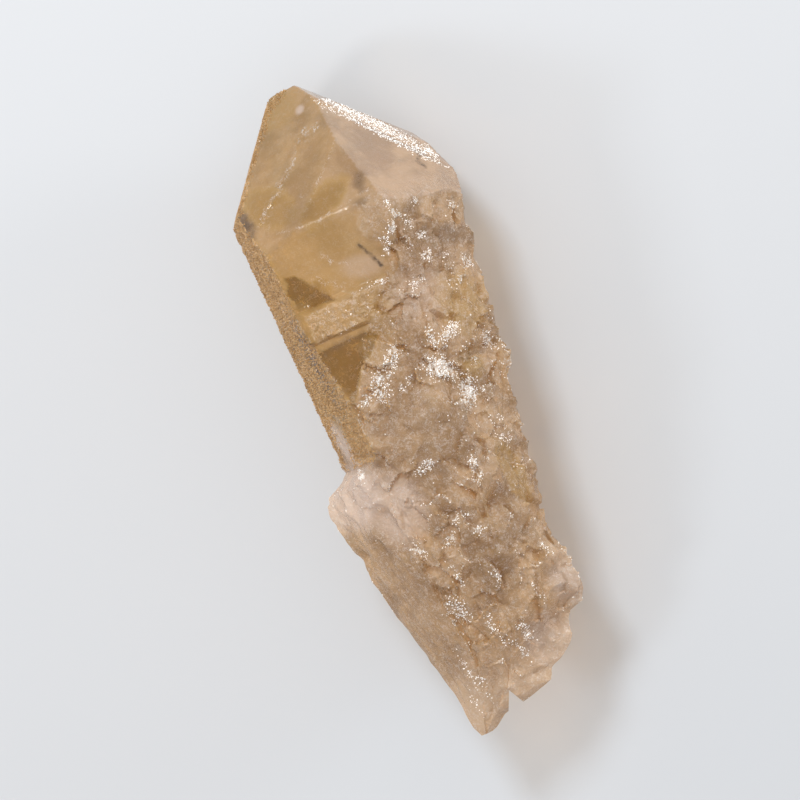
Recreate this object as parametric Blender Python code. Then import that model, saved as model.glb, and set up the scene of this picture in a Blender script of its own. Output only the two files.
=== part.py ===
"""Citrine crystal point, lying on one of its prism faces.

A single quartz crystal in one piece. Its long axis runs along +Y with the point at +Y, the
rest face lies on Z = 0, and X = 0, Y = 0 is the middle of its outline seen from above.
The upper part is a six-sided prism with a stepped front face and a drusy left edge, its right
side is deeply etched into scallops, and the root is a broken, ribbed wedge with a bulge on its
left side.
"""

import math

import bmesh
import bpy
import numpy as np
from mathutils import Vector, noise

MM = 0.001

# Driving dimensions, in millimetres. The design axis is the long axis of the prism: y is
# measured down from the point, and z up from the axis.
PRISM_HALF = 26.2  # from the axis to the front and to the rest face
ROOT_END = -174.6  # tip of the root
SHOULDER = -26.0  # the rows of points start here, just above the shoulders
PRISM_TOP = 8.0  # top of the blank that the point's faces are cut from
ROW_SPACING = 1.75
CENTRE_X = -5.165  # middle of the outline, across
CENTRE_Y = -87.2  # middle of the outline, along

# Points between corners, on the left front, front, right front, right back, rest and left back.
SIDE_COLUMNS = (5, 13, 10, 8, 3, 6)

# The faces of the point. Each is the plane y = across * x + up * z + height.
POINT_FACES = {
    "golden": (0.29, -1.05, -5.2),
    "front": (-0.04, -1.53, 4.45),
    "right": (-1.48, -0.59, 1.1),
    "bright_bevel": (-1.39, -0.28, -0.2),
    "thin_bevel": (-1.16, 0.04, -0.9),
    "right_back": (-0.94, 0.35, 1.2),
    "right_shoulder": (-2.92, 0.71, 60.5),
    "pale_corner": (-2.21, -0.64, 20.0),
    "left": (1.16, -0.32, 8.3),
    "back": (-0.27, 1.2, 6.9),
    "worn_tip": (0.0, 0.0, 0.2),
}

# How each corner of the section moves along the crystal, as (y, value) pairs.
LEFT_EDGE = (
    (-95.5, -31.0), (-97.5, -31.2), (-99.3, -35.0), (-101.5, -38.9), (-105.0, -40.2),
    (-110.0, -40.6), (-116.0, -40.0), (-125.0, -37.4), (-132.4, -35.4), (-144.5, -33.8),
    (-153.0, -32.2), (-162.6, -30.2), (-168.0, -29.4), (-172.0, -28.8), (ROOT_END, -27.6),
)
RIGHT_EDGE = (
    (-38.0, 32.3), (-42.0, 29.8), (-46.5, 28.3), (-52.0, 27.0), (-60.5, 25.4), (-66.0, 25.2),
    (-70.0, 23.6), (-81.0, 21.8), (-86.8, 22.1), (-92.7, 19.5), (-102.4, 17.9), (-110.0, 16.6),
    (-116.1, 16.7), (-122.0, 14.4), (-130.2, 12.0), (-133.4, 13.8), (-137.2, 14.9),
    (-143.0, 13.0), (-146.7, 13.8), (-150.3, 13.1), (-153.2, 11.2), (-154.2, 8.7),
    (-159.6, 6.1), (-164.2, 1.8), (-165.5, -2.0), (-168.6, -4.2), (-170.6, -11.5),
    (-171.5, -18.8), (-174.0, -22.6), (ROOT_END, -24.4),
)
FRONT_LEFT_CORNER = (
    (-96.0, -15.1), (-102.0, -20.0), (-125.0, -20.0), (-155.0, -20.5), (ROOT_END, -26.2),
)
FRONT_RIGHT_CORNER = (
    (-45.0, 15.1), (-70.0, 12.0), (-100.0, 9.0), (-125.0, 4.5), (-150.0, -3.0),
    (-164.0, -12.0), (ROOT_END, -25.6),
)
BACK_LEFT_CORNER = (
    (-95.0, -15.1), (-130.0, -18.0), (-150.0, -21.0), (ROOT_END, -26.6),
)
BACK_RIGHT_CORNER = (
    (-70.0, 15.1), (-85.0, 12.0), (-100.0, 8.0), (-120.0, 5.5), (-150.0, -2.0),
    (-164.0, -12.0), (ROOT_END, -25.9),
)
FRONT_HEIGHT = (
    (-80.0, 26.2), (-97.0, 25.8), (-110.0, 24.0), (-125.0, 21.5), (-140.0, 16.5),
    (-155.0, 10.0), (-167.0, 4.5), (ROOT_END, 1.4),
)
BACK_HEIGHT = (
    (-134.0, -26.2), (-142.0, -23.5), (-155.0, -15.0), (-167.0, -7.0), (ROOT_END, -2.2),
)
LEFT_HEIGHT = ((-95.0, 0.0), (-104.0, 3.0), (-130.0, 2.0), (-150.0, -2.0), (ROOT_END, -0.4))
RIGHT_HEIGHT = ((-130.0, 0.0), (-137.0, -3.0), (-155.0, -2.0), (ROOT_END, -0.4))

# Growth steps of the front face: its height against the plain prism face.
FRONT_STEPS = (
    (-37.0, 0.0), (-54.6, -0.1), (-56.0, 0.7), (-64.0, 0.9), (-65.6, -0.5), (-79.5, -0.6),
)
# The left end of the etched part of the front face, as (y, x).
ETCHED_FROM = (
    (-104.0, -40.0), (-84.0, -30.0), (-79.5, -12.0), (-65.6, -3.0), (-57.0, 6.5), (-44.0, 15.0),
)
ETCHED_LEDGE = -80.5  # below this the right side steps in, under a blocky overhang
LEDGE_DEPTH = 2.0
EDGE_WEAR = 3.0  # how far the front edges are worn down where the faces are etched
EDGE_WEAR_REACH = 5.5  # how far that wear spreads to either side
CORNER_TURN = 4.0  # the surface's outward direction turns over this length beside each corner


def keyed(table, y):
    """The value of a (y, value) table at each y, level beyond its ends."""
    ordered = sorted(table)
    return np.interp(y, [row[0] for row in ordered], [row[1] for row in ordered])


def ramp(value, low, high):
    """Rises smoothly from 0 at low to 1 at high."""
    share = np.clip((value - low) / (high - low), 0.0, 1.0)
    return share * share * (3.0 - 2.0 * share)


def section_corners(y):
    """The six corners (x, z) of the section at each y, from the left edge round by the front."""
    return np.stack(
        [
            np.stack([keyed(LEFT_EDGE, y), keyed(LEFT_HEIGHT, y)], -1),
            np.stack([keyed(FRONT_LEFT_CORNER, y), keyed(FRONT_HEIGHT, y)], -1),
            np.stack([keyed(FRONT_RIGHT_CORNER, y), keyed(FRONT_HEIGHT, y)], -1),
            np.stack([keyed(RIGHT_EDGE, y), keyed(RIGHT_HEIGHT, y)], -1),
            np.stack([keyed(BACK_RIGHT_CORNER, y), keyed(BACK_HEIGHT, y)], -1),
            np.stack([keyed(BACK_LEFT_CORNER, y), keyed(BACK_HEIGHT, y)], -1),
        ],
        axis=1,
    )


def scallops(points, seed, count, radius, depth):
    """Depth of the bowls etched at each point, sharp-rimmed where two bowls meet."""
    rng = np.random.default_rng(seed)
    low = np.array([-42.0, ROOT_END, -PRISM_HALF])
    high = np.array([34.0, -36.0, PRISM_HALF + 2.0])
    carved = np.zeros(len(points))
    for _ in range(count):
        centre = rng.uniform(low, high)
        reach = rng.uniform(*radius)
        deep = rng.uniform(*depth)
        stretch = np.array([1.0, rng.uniform(0.6, 1.0), 1.0])
        away = (((points - centre) * stretch) ** 2).sum(1) / reach**2
        carved = np.maximum(carved, deep * (1.0 - away))
    return carved


def rumple(points, scale, seed):
    """Smooth noise of about -1 to 1 at each point, with features of about the given size."""
    shift = Vector((seed * 7.3, seed * 3.1, seed * 5.7))
    return np.array([noise.noise(Vector(point) / scale + shift) for point in points])


def etching(side, x, y):
    """How strongly the surface is etched, from 0 on a sound crystal face to 1."""
    front = (side == 1) * ramp(x - keyed(ETCHED_FROM, y), -1.5, 1.5)
    right = ((side == 2) | (side == 3)) * ramp(-y, 40.0, 45.0)
    bulge = ramp(-y, 96.0, 100.0) * (1.0 - 0.75 * ramp(-y, 118.0, 130.0))
    left = ((side == 0) | (side == 5)) * bulge
    return np.maximum(np.maximum(front, right), left)


def unit(vectors):
    """The vectors at length 1."""
    return vectors / np.linalg.norm(vectors, axis=-1, keepdims=True)


def wall_points():
    """Rows of points round the crystal, from above the shoulders down to the root's end.

    With each point come its outward direction, the direction away from the section's middle,
    its side, and its distance to the corner at each end of that side.
    """
    rows = round((SHOULDER - ROOT_END) / ROW_SPACING)
    heights = np.concatenate([[PRISM_TOP], np.linspace(SHOULDER, ROOT_END, rows + 1)])
    corners = section_corners(heights)
    middle = corners.mean(axis=1)
    columns = []
    for side, count in enumerate(SIDE_COLUMNS):
        start, end = corners[:, side], corners[:, (side + 1) % 6]
        across = end - start
        length = np.linalg.norm(across, axis=1)
        face = unit(np.stack([-across[:, 1], across[:, 0]], -1))
        for step in range(count):
            share = step / count
            place = start + across * share
            away = unit(place - middle)
            ends = np.stack([share * length, (1.0 - share) * length], -1)
            turned = np.minimum(ends.min(1) / CORNER_TURN, 1.0)[:, None]
            outward = unit(face * turned + away * (1.0 - turned))
            columns.append((place, outward, away, np.full(len(heights), side), ends))
    place, outward, away, side, ends = (np.stack(part, 1) for part in zip(*columns))
    y = np.repeat(heights[:, None], place.shape[1], 1)
    points = np.stack([place[..., 0], y, place[..., 1]], -1)
    return points, outward, away, side, ends


def edge_wear(side, y, ends):
    """How far the two front edges are worn down, from each point's distance to them."""
    to_right = np.where(side == 1, ends[:, 1], np.where(side == 2, ends[:, 0], 1e3))
    to_left = np.where(side == 0, ends[:, 1], np.where(side == 1, ends[:, 0], 1e3))
    right = np.exp(-to_right / EDGE_WEAR_REACH) * ramp(-y, 41.0, 50.0)
    left = np.exp(-to_left / EDGE_WEAR_REACH) * ramp(-y, 94.0, 104.0)
    return EDGE_WEAR * (right + left)


def shaped_wall():
    """The rows of points with growth steps, etched scallops, ribs and the ledge."""
    points, outward, away, side, ends = wall_points()
    shape = points.shape[:2]
    flat = points.reshape(-1, 3)
    sides = side.reshape(-1)
    x, y = flat[:, 0], flat[:, 1]
    etched = etching(sides, x, y)
    large = scallops(flat, 11, 150, (5.0, 10.0), (1.6, 3.4))
    small = scallops(flat, 23, 520, (2.4, 4.6), (0.7, 1.5))
    depth_here = np.where(sides == 1, 0.55, 1.0)
    raised = -etched * depth_here * np.maximum(large, small)
    raised += etched * 0.5 * rumple(flat, 4.0, 3)
    worn = edge_wear(sides, y, ends.reshape(-1, 2)) * (1.0 + 0.4 * rumple(flat, 9.0, 8))
    stepped = (sides == 1) & (y > -80.0)
    raised += stepped * (1.0 - etched) * keyed(FRONT_STEPS, y)
    ledge = (sides == 2) * ramp(-y, -ETCHED_LEDGE, -ETCHED_LEDGE + 1.5) * ramp(y, -108.0, -86.0)
    raised -= LEDGE_DEPTH * ledge
    root = ramp(-y, 128.0, 150.0)
    ribs = rumple(flat * np.array([1.0, 0.12, 1.0]), 3.2, 9)
    raised += root * 0.8 * ribs * ((sides == 1) | (sides == 2))
    crust = ((sides == 0) & (y > -97.0)) * 0.35 * rumple(flat, 1.9, 5)
    raised += crust
    rest = (sides == 4) & (y > -134.5)
    raised[rest] = 0.0
    fade = 0.25 + 0.75 * ramp(y, ROOT_END, -160.0)
    moved = outward.reshape(-1, 2) * (raised * fade)[:, None]
    moved -= away.reshape(-1, 2) * (worn * fade)[:, None]
    flat[:, 0] += moved[:, 0]
    flat[:, 2] += moved[:, 1]
    flat[:, 2] = np.maximum(flat[:, 2], -PRISM_HALF)
    return flat.reshape(*shape, 3)


def to_part(point):
    """A design point in millimetres as a point of the part in metres."""
    return Vector(
        (
            (point[0] - CENTRE_X) * MM,
            (point[1] - CENTRE_Y) * MM,
            (point[2] + PRISM_HALF) * MM,
        )
    )


def blank_mesh():
    """The closed body before the point's faces are cut."""
    wall = shaped_wall()
    bm = bmesh.new()
    rows = [[bm.verts.new(to_part(point)) for point in row] for row in wall]
    count = len(rows[0])
    for upper, lower in zip(rows, rows[1:]):
        for k in range(count):
            after = (k + 1) % count
            bm.faces.new((upper[k], upper[after], lower[after], lower[k]))
    bm.faces.new(list(reversed(rows[0])))
    bm.faces.new(rows[-1])
    bmesh.ops.recalc_face_normals(bm, faces=bm.faces)
    return bm


def cut_face(bm, across, up, height):
    """Cuts the body along one face of the point and closes it there."""
    normal = Vector((-across, 1.0, -up)).normalized()
    on_face = to_part((0.0, height, 0.0))
    cut = bmesh.ops.bisect_plane(
        bm,
        geom=bm.verts[:] + bm.edges[:] + bm.faces[:],
        dist=1e-7,
        plane_co=on_face,
        plane_no=normal,
        clear_outer=True,
    )
    border = [e for e in cut["geom_cut"] if isinstance(e, bmesh.types.BMEdge)]
    if border:
        bmesh.ops.edgeloop_fill(bm, edges=border)


def notch_cutter():
    """A wedge for the notch between the two lobes of the broken end."""
    tip, half_width, drop = Vector((-15.6, -166.4)), 3.4, 7.0
    outline = [
        (tip.x, tip.y),
        (tip.x + half_width, tip.y - drop),
        (tip.x - half_width, tip.y - drop),
    ]
    bm = bmesh.new()
    lean = math.sin(math.radians(13.7))
    low = [bm.verts.new(to_part((x - 20.0 * lean, y, -20.0))) for x, y in outline]
    high = [bm.verts.new(to_part((x + 20.0 * lean, y, 20.0))) for x, y in outline]
    bm.faces.new(low)
    bm.faces.new(list(reversed(high)))
    for k in range(3):
        after = (k + 1) % 3
        bm.faces.new((low[k], high[k], high[after], low[after]))
    bmesh.ops.recalc_face_normals(bm, faces=bm.faces)
    return bm


def make_object(name, bm):
    """An object from a bmesh, in the scene."""
    mesh = bpy.data.meshes.new(name)
    bm.to_mesh(mesh)
    bm.free()
    obj = bpy.data.objects.new(name, mesh)
    bpy.context.scene.collection.objects.link(obj)
    return obj


def quartz():
    """Smoky golden quartz."""
    material = bpy.data.materials.new("citrine")
    material.use_nodes = True
    shader = material.node_tree.nodes["Principled BSDF"]
    shader.inputs["Base Color"].default_value = (0.48, 0.33, 0.18, 1.0)
    shader.inputs["Roughness"].default_value = 0.2
    shader.inputs["Metallic"].default_value = 0.0
    shader.inputs["IOR"].default_value = 1.544
    shader.inputs["Transmission Weight"].default_value = 0.6
    return material


def make_crystal():
    """The crystal: the blank, cut by the point's faces, less the notch at the root."""
    bm = blank_mesh()
    for across, up, height in POINT_FACES.values():
        cut_face(bm, across, up, height)
    bmesh.ops.recalc_face_normals(bm, faces=bm.faces)
    bmesh.ops.triangulate(bm, faces=bm.faces)
    crystal = make_object("crystal", bm)
    crystal.data.materials.append(quartz())
    cutter = make_object("root_notch_cutter", notch_cutter())
    cutter.hide_render = True
    cutter.display_type = "WIRE"
    notch = crystal.modifiers.new("root_notch", "BOOLEAN")
    notch.operation = "DIFFERENCE"
    notch.solver = "EXACT"
    notch.object = cutter
    return crystal


def main():
    """Clears the scene and builds the crystal."""
    for obj in list(bpy.data.objects):
        bpy.data.objects.remove(obj)
    make_crystal()


main()
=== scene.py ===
"""Citrine crystal point, dressed for display.

The crystal is built again from the same named values as its solid, with rows and columns about
half a millimetre apart, so that growth steps, etched bowls, striations and frost are real
surface. Its sound faces are clear and golden, its etched side is frosted, and its left edge
carries a crust of fine quartz grains. Lengths are in millimetres along the design axes: y is
measured down from the point, z up from the prism's axis. The picture plane (u, v) is that of
someone who looks straight at the front face from a little to its right.
"""

import logging
import math
from collections.abc import Sequence
from dataclasses import dataclass, field
from enum import Enum, IntEnum

import bmesh
import bpy
import numpy as np
from mathutils import Matrix, Vector, noise
from mathutils.geometry import delaunay_2d_cdt


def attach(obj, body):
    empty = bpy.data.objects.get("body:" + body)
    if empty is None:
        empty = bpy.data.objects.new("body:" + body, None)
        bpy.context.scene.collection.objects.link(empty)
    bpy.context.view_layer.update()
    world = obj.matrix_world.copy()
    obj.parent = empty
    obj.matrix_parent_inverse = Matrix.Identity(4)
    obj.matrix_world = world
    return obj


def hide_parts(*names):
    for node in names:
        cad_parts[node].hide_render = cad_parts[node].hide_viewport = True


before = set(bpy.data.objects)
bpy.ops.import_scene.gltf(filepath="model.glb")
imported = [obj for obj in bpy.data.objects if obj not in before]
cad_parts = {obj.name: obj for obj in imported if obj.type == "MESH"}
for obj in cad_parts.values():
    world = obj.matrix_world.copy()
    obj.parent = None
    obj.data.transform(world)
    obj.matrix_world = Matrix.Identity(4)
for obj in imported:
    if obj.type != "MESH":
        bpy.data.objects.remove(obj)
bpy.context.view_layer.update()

LOG = logging.getLogger("citrine")
BODY = "root"
CAD_NODE = "crystal"

MM = 0.001
PRISM_HALF = 26.2  # from the axis to the front and to the rest face
ROOT_END = -174.6  # tip of the root
SHOULDER = -22.0  # the rows of points start here, above the shoulders
PRISM_TOP = 8.0  # top of the blank that the point's faces are cut from
CENTRE_X = -5.165  # middle of the outline, across
CENTRE_Y = -87.2  # middle of the outline, along
ROW_STEP = 0.55
FACET_STEP = 0.6
VIEW_TURN = math.radians(13.7)  # the eye's place, round the long axis towards +X
VIEW_ROLL = math.radians(24.8)  # the crystal's lean in the picture
PICTURE_SIZE = 800  # pixels across the picture
PICTURE_SCALE = 0.26  # millimetres across one of them
PICTURE_MIDDLE = (-9.27, -86.03)  # the (u, v) that lies at its middle
ETCHED_END = -40.0  # the etching starts below this, under the shoulders
ETCH_BORDER = (-1.5, 1.5)  # the etching sets in over this width
BULGE_TOP = -97.0  # the sound left side ends here
FAR = 1e3
TINY = 1e-12
QUARTZ_IOR = 1.544
TO_EYE = np.array([math.sin(VIEW_TURN), 0.0, math.cos(VIEW_TURN)])
LEFT_OUTWARD = np.array([-0.866, 0.0, 0.5])  # out of the sound left side
FACET_LAYER = "facet"  # the faces' own numbers, for those of the point
INSIDE_ONLY = 1  # of the triangulation, those inside the outline
MERGE_WITHIN = 1e-5  # points closer than this are one

# Scramble the place of a chip into three numbers from 0 to 1.
CHIP_MIX = np.array([[127.1, 269.5, 419.2], [311.7, 183.3, 371.9], [74.7, 246.1, 53.3]])
CHIP_SPREAD = 43758.5453

Table = tuple[tuple[float, float], ...]
Line = tuple[tuple[float, float], ...]  # the (u, v) points of a line or an outline
Colour = tuple[float, float, float, float]
Spot = tuple[float, float, float, float, float, float]  # u, v, half width, half height, turn, strength


class Side(IntEnum):
    """The sides of the prism, from the left edge round by the front."""

    LEFT_FRONT = 0
    FRONT = 1
    RIGHT_FRONT = 2
    RIGHT_BACK = 3
    REST = 4
    LEFT_BACK = 5


class Mark(str, Enum):
    """The surface attributes that the materials and the grains read."""

    # Etch frost, and white painted as glints on sharp rims and streaks and as a highlight on the
    # bright band.
    FROST = "frost"
    GOLDEN = "golden"
    PALE = "pale"
    ETCHED = "etched"
    CRUST = "crust"
    # Dark inclusions, and painted shade.
    DARK = "dark"
    FLAKES = "flakes"


# Distance between columns on each side.
COLUMN_STEP = {
    Side.LEFT_FRONT: 0.6,
    Side.FRONT: 0.5,
    Side.RIGHT_FRONT: 0.52,
    Side.RIGHT_BACK: 0.9,
    Side.REST: 1.8,
    Side.LEFT_BACK: 1.0,
}
SIDE_WIDTH = 30.2

# The faces of the point. Each is the plane y = across * x + up * z + height.
POINT_FACES = {
    "golden": (0.29, -1.05, -5.2),
    "front": (-0.04, -1.53, 4.45),
    "right": (-1.48, -0.59, 1.1),
    "bright_bevel": (-1.39, -0.28, -0.2),
    "thin_bevel": (-1.16, 0.04, -0.9),
    "right_back": (-0.94, 0.35, 1.2),
    "right_shoulder": (-2.92, 0.71, 60.5),
    "pale_corner": (-2.21, -0.64, 20.0),
    "left": (1.16, -0.32, 8.3),
    "back": (-0.27, 1.2, 6.9),
    "worn_tip": (0.0, 0.0, 0.2),
}

# How each corner of the section moves along the crystal, as (y, value) pairs.
LEFT_EDGE: Table = (
    (-95.5, -31.0), (-97.5, -31.2), (-99.3, -35.0), (-101.5, -38.9), (-105.0, -40.2),
    (-110.0, -40.6), (-116.0, -40.0), (-125.0, -37.4), (-132.4, -35.4), (-144.5, -33.8),
    (-153.0, -32.2), (-162.6, -30.2), (-168.0, -29.4), (-172.0, -28.8), (ROOT_END, -27.6),
)
RIGHT_EDGE: Table = (
    (-38.0, 32.3), (-42.0, 29.8), (-46.5, 28.3), (-52.0, 27.0), (-60.5, 25.4), (-66.0, 25.2),
    (-70.0, 23.6), (-81.0, 21.8), (-86.8, 22.1), (-92.7, 19.5), (-102.4, 17.9), (-110.0, 16.6),
    (-116.1, 16.7), (-122.0, 14.4), (-130.2, 12.0), (-133.4, 13.8), (-137.2, 14.9),
    (-143.0, 13.0), (-146.7, 13.8), (-150.3, 13.1), (-153.2, 11.2), (-154.2, 8.7),
    (-159.6, 6.1), (-164.2, 1.8), (-165.5, -2.0), (-168.6, -4.2), (-170.6, -11.5),
    (-171.5, -18.8), (-174.0, -22.6), (ROOT_END, -24.4),
)
FRONT_LEFT_CORNER: Table = (
    (-36.0, -19.4), (-57.0, -18.9), (-74.0, -16.9), (-84.0, -15.4), (-96.0, -15.1),
    (-102.0, -20.0), (-125.0, -20.0), (-155.0, -20.5), (ROOT_END, -26.2),
)
FRONT_RIGHT_CORNER: Table = (
    (-45.0, 15.1), (-70.0, 12.0), (-100.0, 9.0), (-125.0, 4.5), (-150.0, -3.0),
    (-164.0, -12.0), (ROOT_END, -25.6),
)
BACK_LEFT_CORNER: Table = (
    (-95.0, -15.1), (-130.0, -18.0), (-150.0, -21.0), (ROOT_END, -26.6),
)
BACK_RIGHT_CORNER: Table = (
    (-70.0, 15.1), (-85.0, 12.0), (-100.0, 8.0), (-120.0, 5.5), (-150.0, -2.0),
    (-164.0, -12.0), (ROOT_END, -25.9),
)
FRONT_HEIGHT: Table = (
    (-80.0, 26.2), (-97.0, 25.8), (-110.0, 24.0), (-125.0, 21.5), (-140.0, 16.5),
    (-155.0, 10.0), (-167.0, 4.5), (ROOT_END, 1.4),
)
BACK_HEIGHT: Table = (
    (-134.0, -26.2), (-142.0, -23.5), (-155.0, -15.0), (-167.0, -7.0), (ROOT_END, -2.2),
)
LEFT_HEIGHT: Table = (
    (-95.0, 0.0), (-104.0, 3.0), (-130.0, 2.0), (-150.0, -2.0), (ROOT_END, -0.4),
)
RIGHT_HEIGHT: Table = ((-130.0, 0.0), (-137.0, -3.0), (-155.0, -2.0), (ROOT_END, -0.4))
SECTION = (
    (LEFT_EDGE, LEFT_HEIGHT),
    (FRONT_LEFT_CORNER, FRONT_HEIGHT),
    (FRONT_RIGHT_CORNER, FRONT_HEIGHT),
    (RIGHT_EDGE, RIGHT_HEIGHT),
    (BACK_RIGHT_CORNER, BACK_HEIGHT),
    (BACK_LEFT_CORNER, BACK_HEIGHT),
)

# Growth steps of the front face: its height against the plain prism face.
FRONT_STEPS: Table = (
    (-37.0, 0.0), (-55.0, -0.1), (-55.7, 0.7), (-64.4, 0.9), (-65.1, -0.5), (-79.5, -0.6),
)
# The left end of the etched part of the front face, as (y, x).
ETCHED_FROM: Table = (
    (-104.0, -40.0), (-84.0, -30.0), (-79.5, -12.0), (-65.6, -3.0), (-57.0, 6.5), (-44.0, 15.0),
)

# Bright frost, where the etching left a crumbly skin, as seen from the front.
FROST_SPOTS: tuple[Spot, ...] = (
    (-12.3, -80.4, 2.2, 3.4, -10.0, 1.0),
    (-7.0, -75.9, 1.4, 4.2, -38.0, 0.9),
    (3.6, -83.2, 4.0, 2.6, -35.0, 1.0),
    (7.6, -91.4, 2.0, 4.2, -20.0, 1.0),
    (4.9, -75.4, 1.3, 3.2, 8.0, 0.8),
    (9.9, -75.4, 2.6, 1.8, 20.0, 0.9),
    (18.4, -81.6, 1.2, 2.8, 10.0, 0.8),
    (-16.6, -82.2, 2.8, 0.9, 30.0, 0.8),
    (-5.4, -82.8, 2.8, 0.8, 25.0, 0.6),
    (0.6, -109.6, 1.0, 3.2, -6.0, 0.9),
    (-10.8, -104.1, 2.4, 1.3, 15.0, 0.9),
    (-26.2, -99.4, 0.9, 1.4, 0.0, 0.9),
    (15.6, -40.8, 0.8, 0.9, 0.0, 1.0),
    (24.2, -45.9, 1.0, 1.3, 25.0, 1.0),
    (12.9, -55.0, 1.4, 1.0, 40.0, 1.0),
    (16.6, -57.8, 1.2, 0.6, 30.0, 0.8),
    (17.6, -64.3, 1.8, 0.6, 30.0, 0.9),
    (4.2, -48.0, 1.0, 2.2, -20.0, 0.8),
    (9.4, -41.0, 0.8, 2.4, 20.0, 0.8),
    (7.4, -45.2, 0.9, 1.7, -10.0, 0.9),
    (6.4, -60.6, 1.6, 1.2, 20.0, 0.7),
    (21.4, -60.4, 1.0, 1.6, 20.0, 0.8),
    (13.4, -49.6, 1.6, 0.7, -30.0, 0.7),
    (12.0, -45.4, 1.2, 1.8, 20.0, 0.5),
    (-4.7, -124.5, 1.0, 1.3, 0.0, 0.9),
    (-8.1, -119.6, 1.6, 1.1, 20.0, 0.9),
    (-13.0, -124.1, 2.2, 1.2, 30.0, 0.8),
    (-21.2, -122.8, 0.9, 2.0, 20.0, 0.8),
    (-18.4, -141.9, 2.4, 3.2, 10.0, 0.6),
    (-22.5, -158.0, 0.7, 5.0, 8.0, 0.55),
    (-20.6, -163.5, 0.6, 4.0, 5.0, 0.6),
    (-24.4, -166.0, 0.6, 3.5, 5.0, 0.5),
    (-12.0, -150.0, 0.7, 4.0, 10.0, 0.5),
    (-8.0, -158.0, 0.7, 4.0, 20.0, 0.5),
    (-4.9, -154.4, 0.9, 2.5, 15.0, 0.6),
    (2.0, -146.0, 0.8, 3.0, 15.0, 0.5),
    (8.5, -136.3, 0.9, 2.0, 10.0, 0.6),
    (-15.0, -133.0, 0.8, 3.2, 10.0, 0.5),
    (-6.0, -138.0, 0.8, 2.6, 0.0, 0.5),
    (11.0, -104.0, 2.0, 4.6, 3.0, 0.2),
    (-3.0, -56.7, 3.9, 0.5, -5.0, 0.7),
)
# Thin pale veils just under the clear faces.
VEIL_SPOTS: tuple[Spot, ...] = (
    (-10.6, -46.2, 0.8, 3.4, 52.0, 0.9),
    (-8.4, -47.8, 0.6, 3.0, 60.0, 0.8),
    (-14.6, -50.2, 0.7, 3.4, 48.0, 0.5),
    (-11.0, -52.4, 0.7, 3.0, 62.0, 0.5),
    (-17.0, -21.5, 0.6, 0.9, 30.0, 0.6),
    (-13.6, -21.8, 0.9, 0.6, 30.0, 0.6),
    (-9.5, -27.8, 1.1, 0.7, 30.0, 0.6),
    (-3.4, -13.6, 1.6, 0.9, 30.0, 0.6),
    (-21.4, -31.5, 0.9, 0.5, 0.0, 0.6),
)
# How golden and how pale each face of the point is.
FACE_TONES = {
    "golden": (0.1, 0.0),
    "front": (0.04, 0.08),
    "right": (0.0, 0.25),
    "bright_bevel": (0.0, 0.4),
    "thin_bevel": (0.0, 0.3),
    "right_back": (0.1, 0.1),
    "right_shoulder": (0.0, 0.4),
    "pale_corner": (0.0, 0.3),
    "left": (0.5, 0.0),
    "back": (0.3, 0.0),
    "worn_tip": (0.3, 0.0),
}
# Where the colour is a deeper gold, apart from the windows.
GOLDEN_SPOTS: tuple[Spot, ...] = (
    (-14.0, -50.0, 15.0, 24.0, 0.0, 0.2),
    (-27.5, -58.0, 5.0, 32.0, 4.0, 0.62),
    (-18.5, -53.0, 5.0, 4.0, 20.0, 0.7),
    (-12.0, -61.0, 12.0, 4.4, 0.0, 0.25),
    (-25.0, -68.0, 1.1, 12.5, 4.0, 0.95),
    (-6.0, -32.0, 8.0, 3.4, 24.0, 0.85),
    (16.0, -70.0, 6.0, 8.0, 0.0, 0.3),
    (-19.0, -27.0, 7.0, 5.5, -40.0, 0.72),
    (-6.5, -4.0, 7.0, 5.0, 30.0, 0.35),
    (9.6, -115.0, 2.4, 8.0, 3.0, 0.5),
    (11.3, -85.1, 3.0, 4.0, 0.0, 0.3),
)
# Clear windows in the front face, through which the golden inside shows, as (u, v) outlines.
WINDOWS: tuple[Line, ...] = (
    ((-24.0, -44.0), (-24.4, -55.8), (-11.5, -56.6), (-15.0, -52.0), (-19.6, -45.6)),
    (
        (-24.4, -65.4), (-8.2, -65.8), (-6.6, -69.4), (-9.6, -71.8), (-13.4, -74.4),
        (-16.6, -78.6), (-21.0, -84.0), (-23.4, -74.0),
    ),
)
# The rough band between two growth steps, and the frosted hump beside it.
ROUGH_BAND: Line = (
    (-22.8, -56.0), (1.8, -56.6), (1.2, -64.0), (-9.3, -65.4), (-23.2, -65.1),
)
HUMP: Spot = (6.9, -41.6, 6.2, 6.6, -12.0, 1.0)
# The calmer part of the etched front face.
CALM_SPOT: Spot = (-7.0, -94.0, 11.0, 9.0, 0.0, 1.0)
# Dark inclusions, and cracks whose shade is painted dark: a needle, the foot of the hump, the end of
# the bright band.
DARK_AND_SHADE_LINES: tuple[Line, ...] = (
    ((-2.4, -45.6), (-1.4, -47.4), (-0.6, -49.0), (0.1, -51.0), (0.8, -52.8)),
    ((21.0, -27.6), (22.6, -29.6), (20.8, -31.8), (22.0, -34.0)),
)
# Dark stains, pits and smudges, and painted shade: the strips at (-15.5, -66.5) below a growth step
# and at (13.6, -82.6) under the right ledge are painted shade.
DARK_AND_SHADE_SPOTS: tuple[Spot, ...] = (
    (-27.0, -27.4, 2.0, 3.4, 20.0, 0.9),
    (-26.0, -30.6, 1.0, 2.6, -15.0, 0.6),
    (5.0, -31.0, 1.7, 2.2, -20.0, 0.55),
    (3.2, -35.8, 2.2, 0.9, 10.0, 0.4),
    (-28.3, -61.8, 0.6, 0.7, 0.0, 1.0),
    (-28.3, -71.6, 0.6, 0.8, 0.0, 1.0),
    (-25.4, -69.0, 1.3, 12.5, 4.0, 0.6),
    (18.0, -52.0, 5.0, 3.2, -30.0, 0.3),
    (13.6, -82.6, 5.6, 0.8, 4.0, 0.45),
    (-15.5, -66.5, 7.0, 0.8, 2.0, 0.4),
    (-13.0, -32.0, 5.0, 3.0, 30.0, 0.3),
    (4.0, -12.5, 3.0, 2.2, -45.0, 0.25),
)
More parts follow.
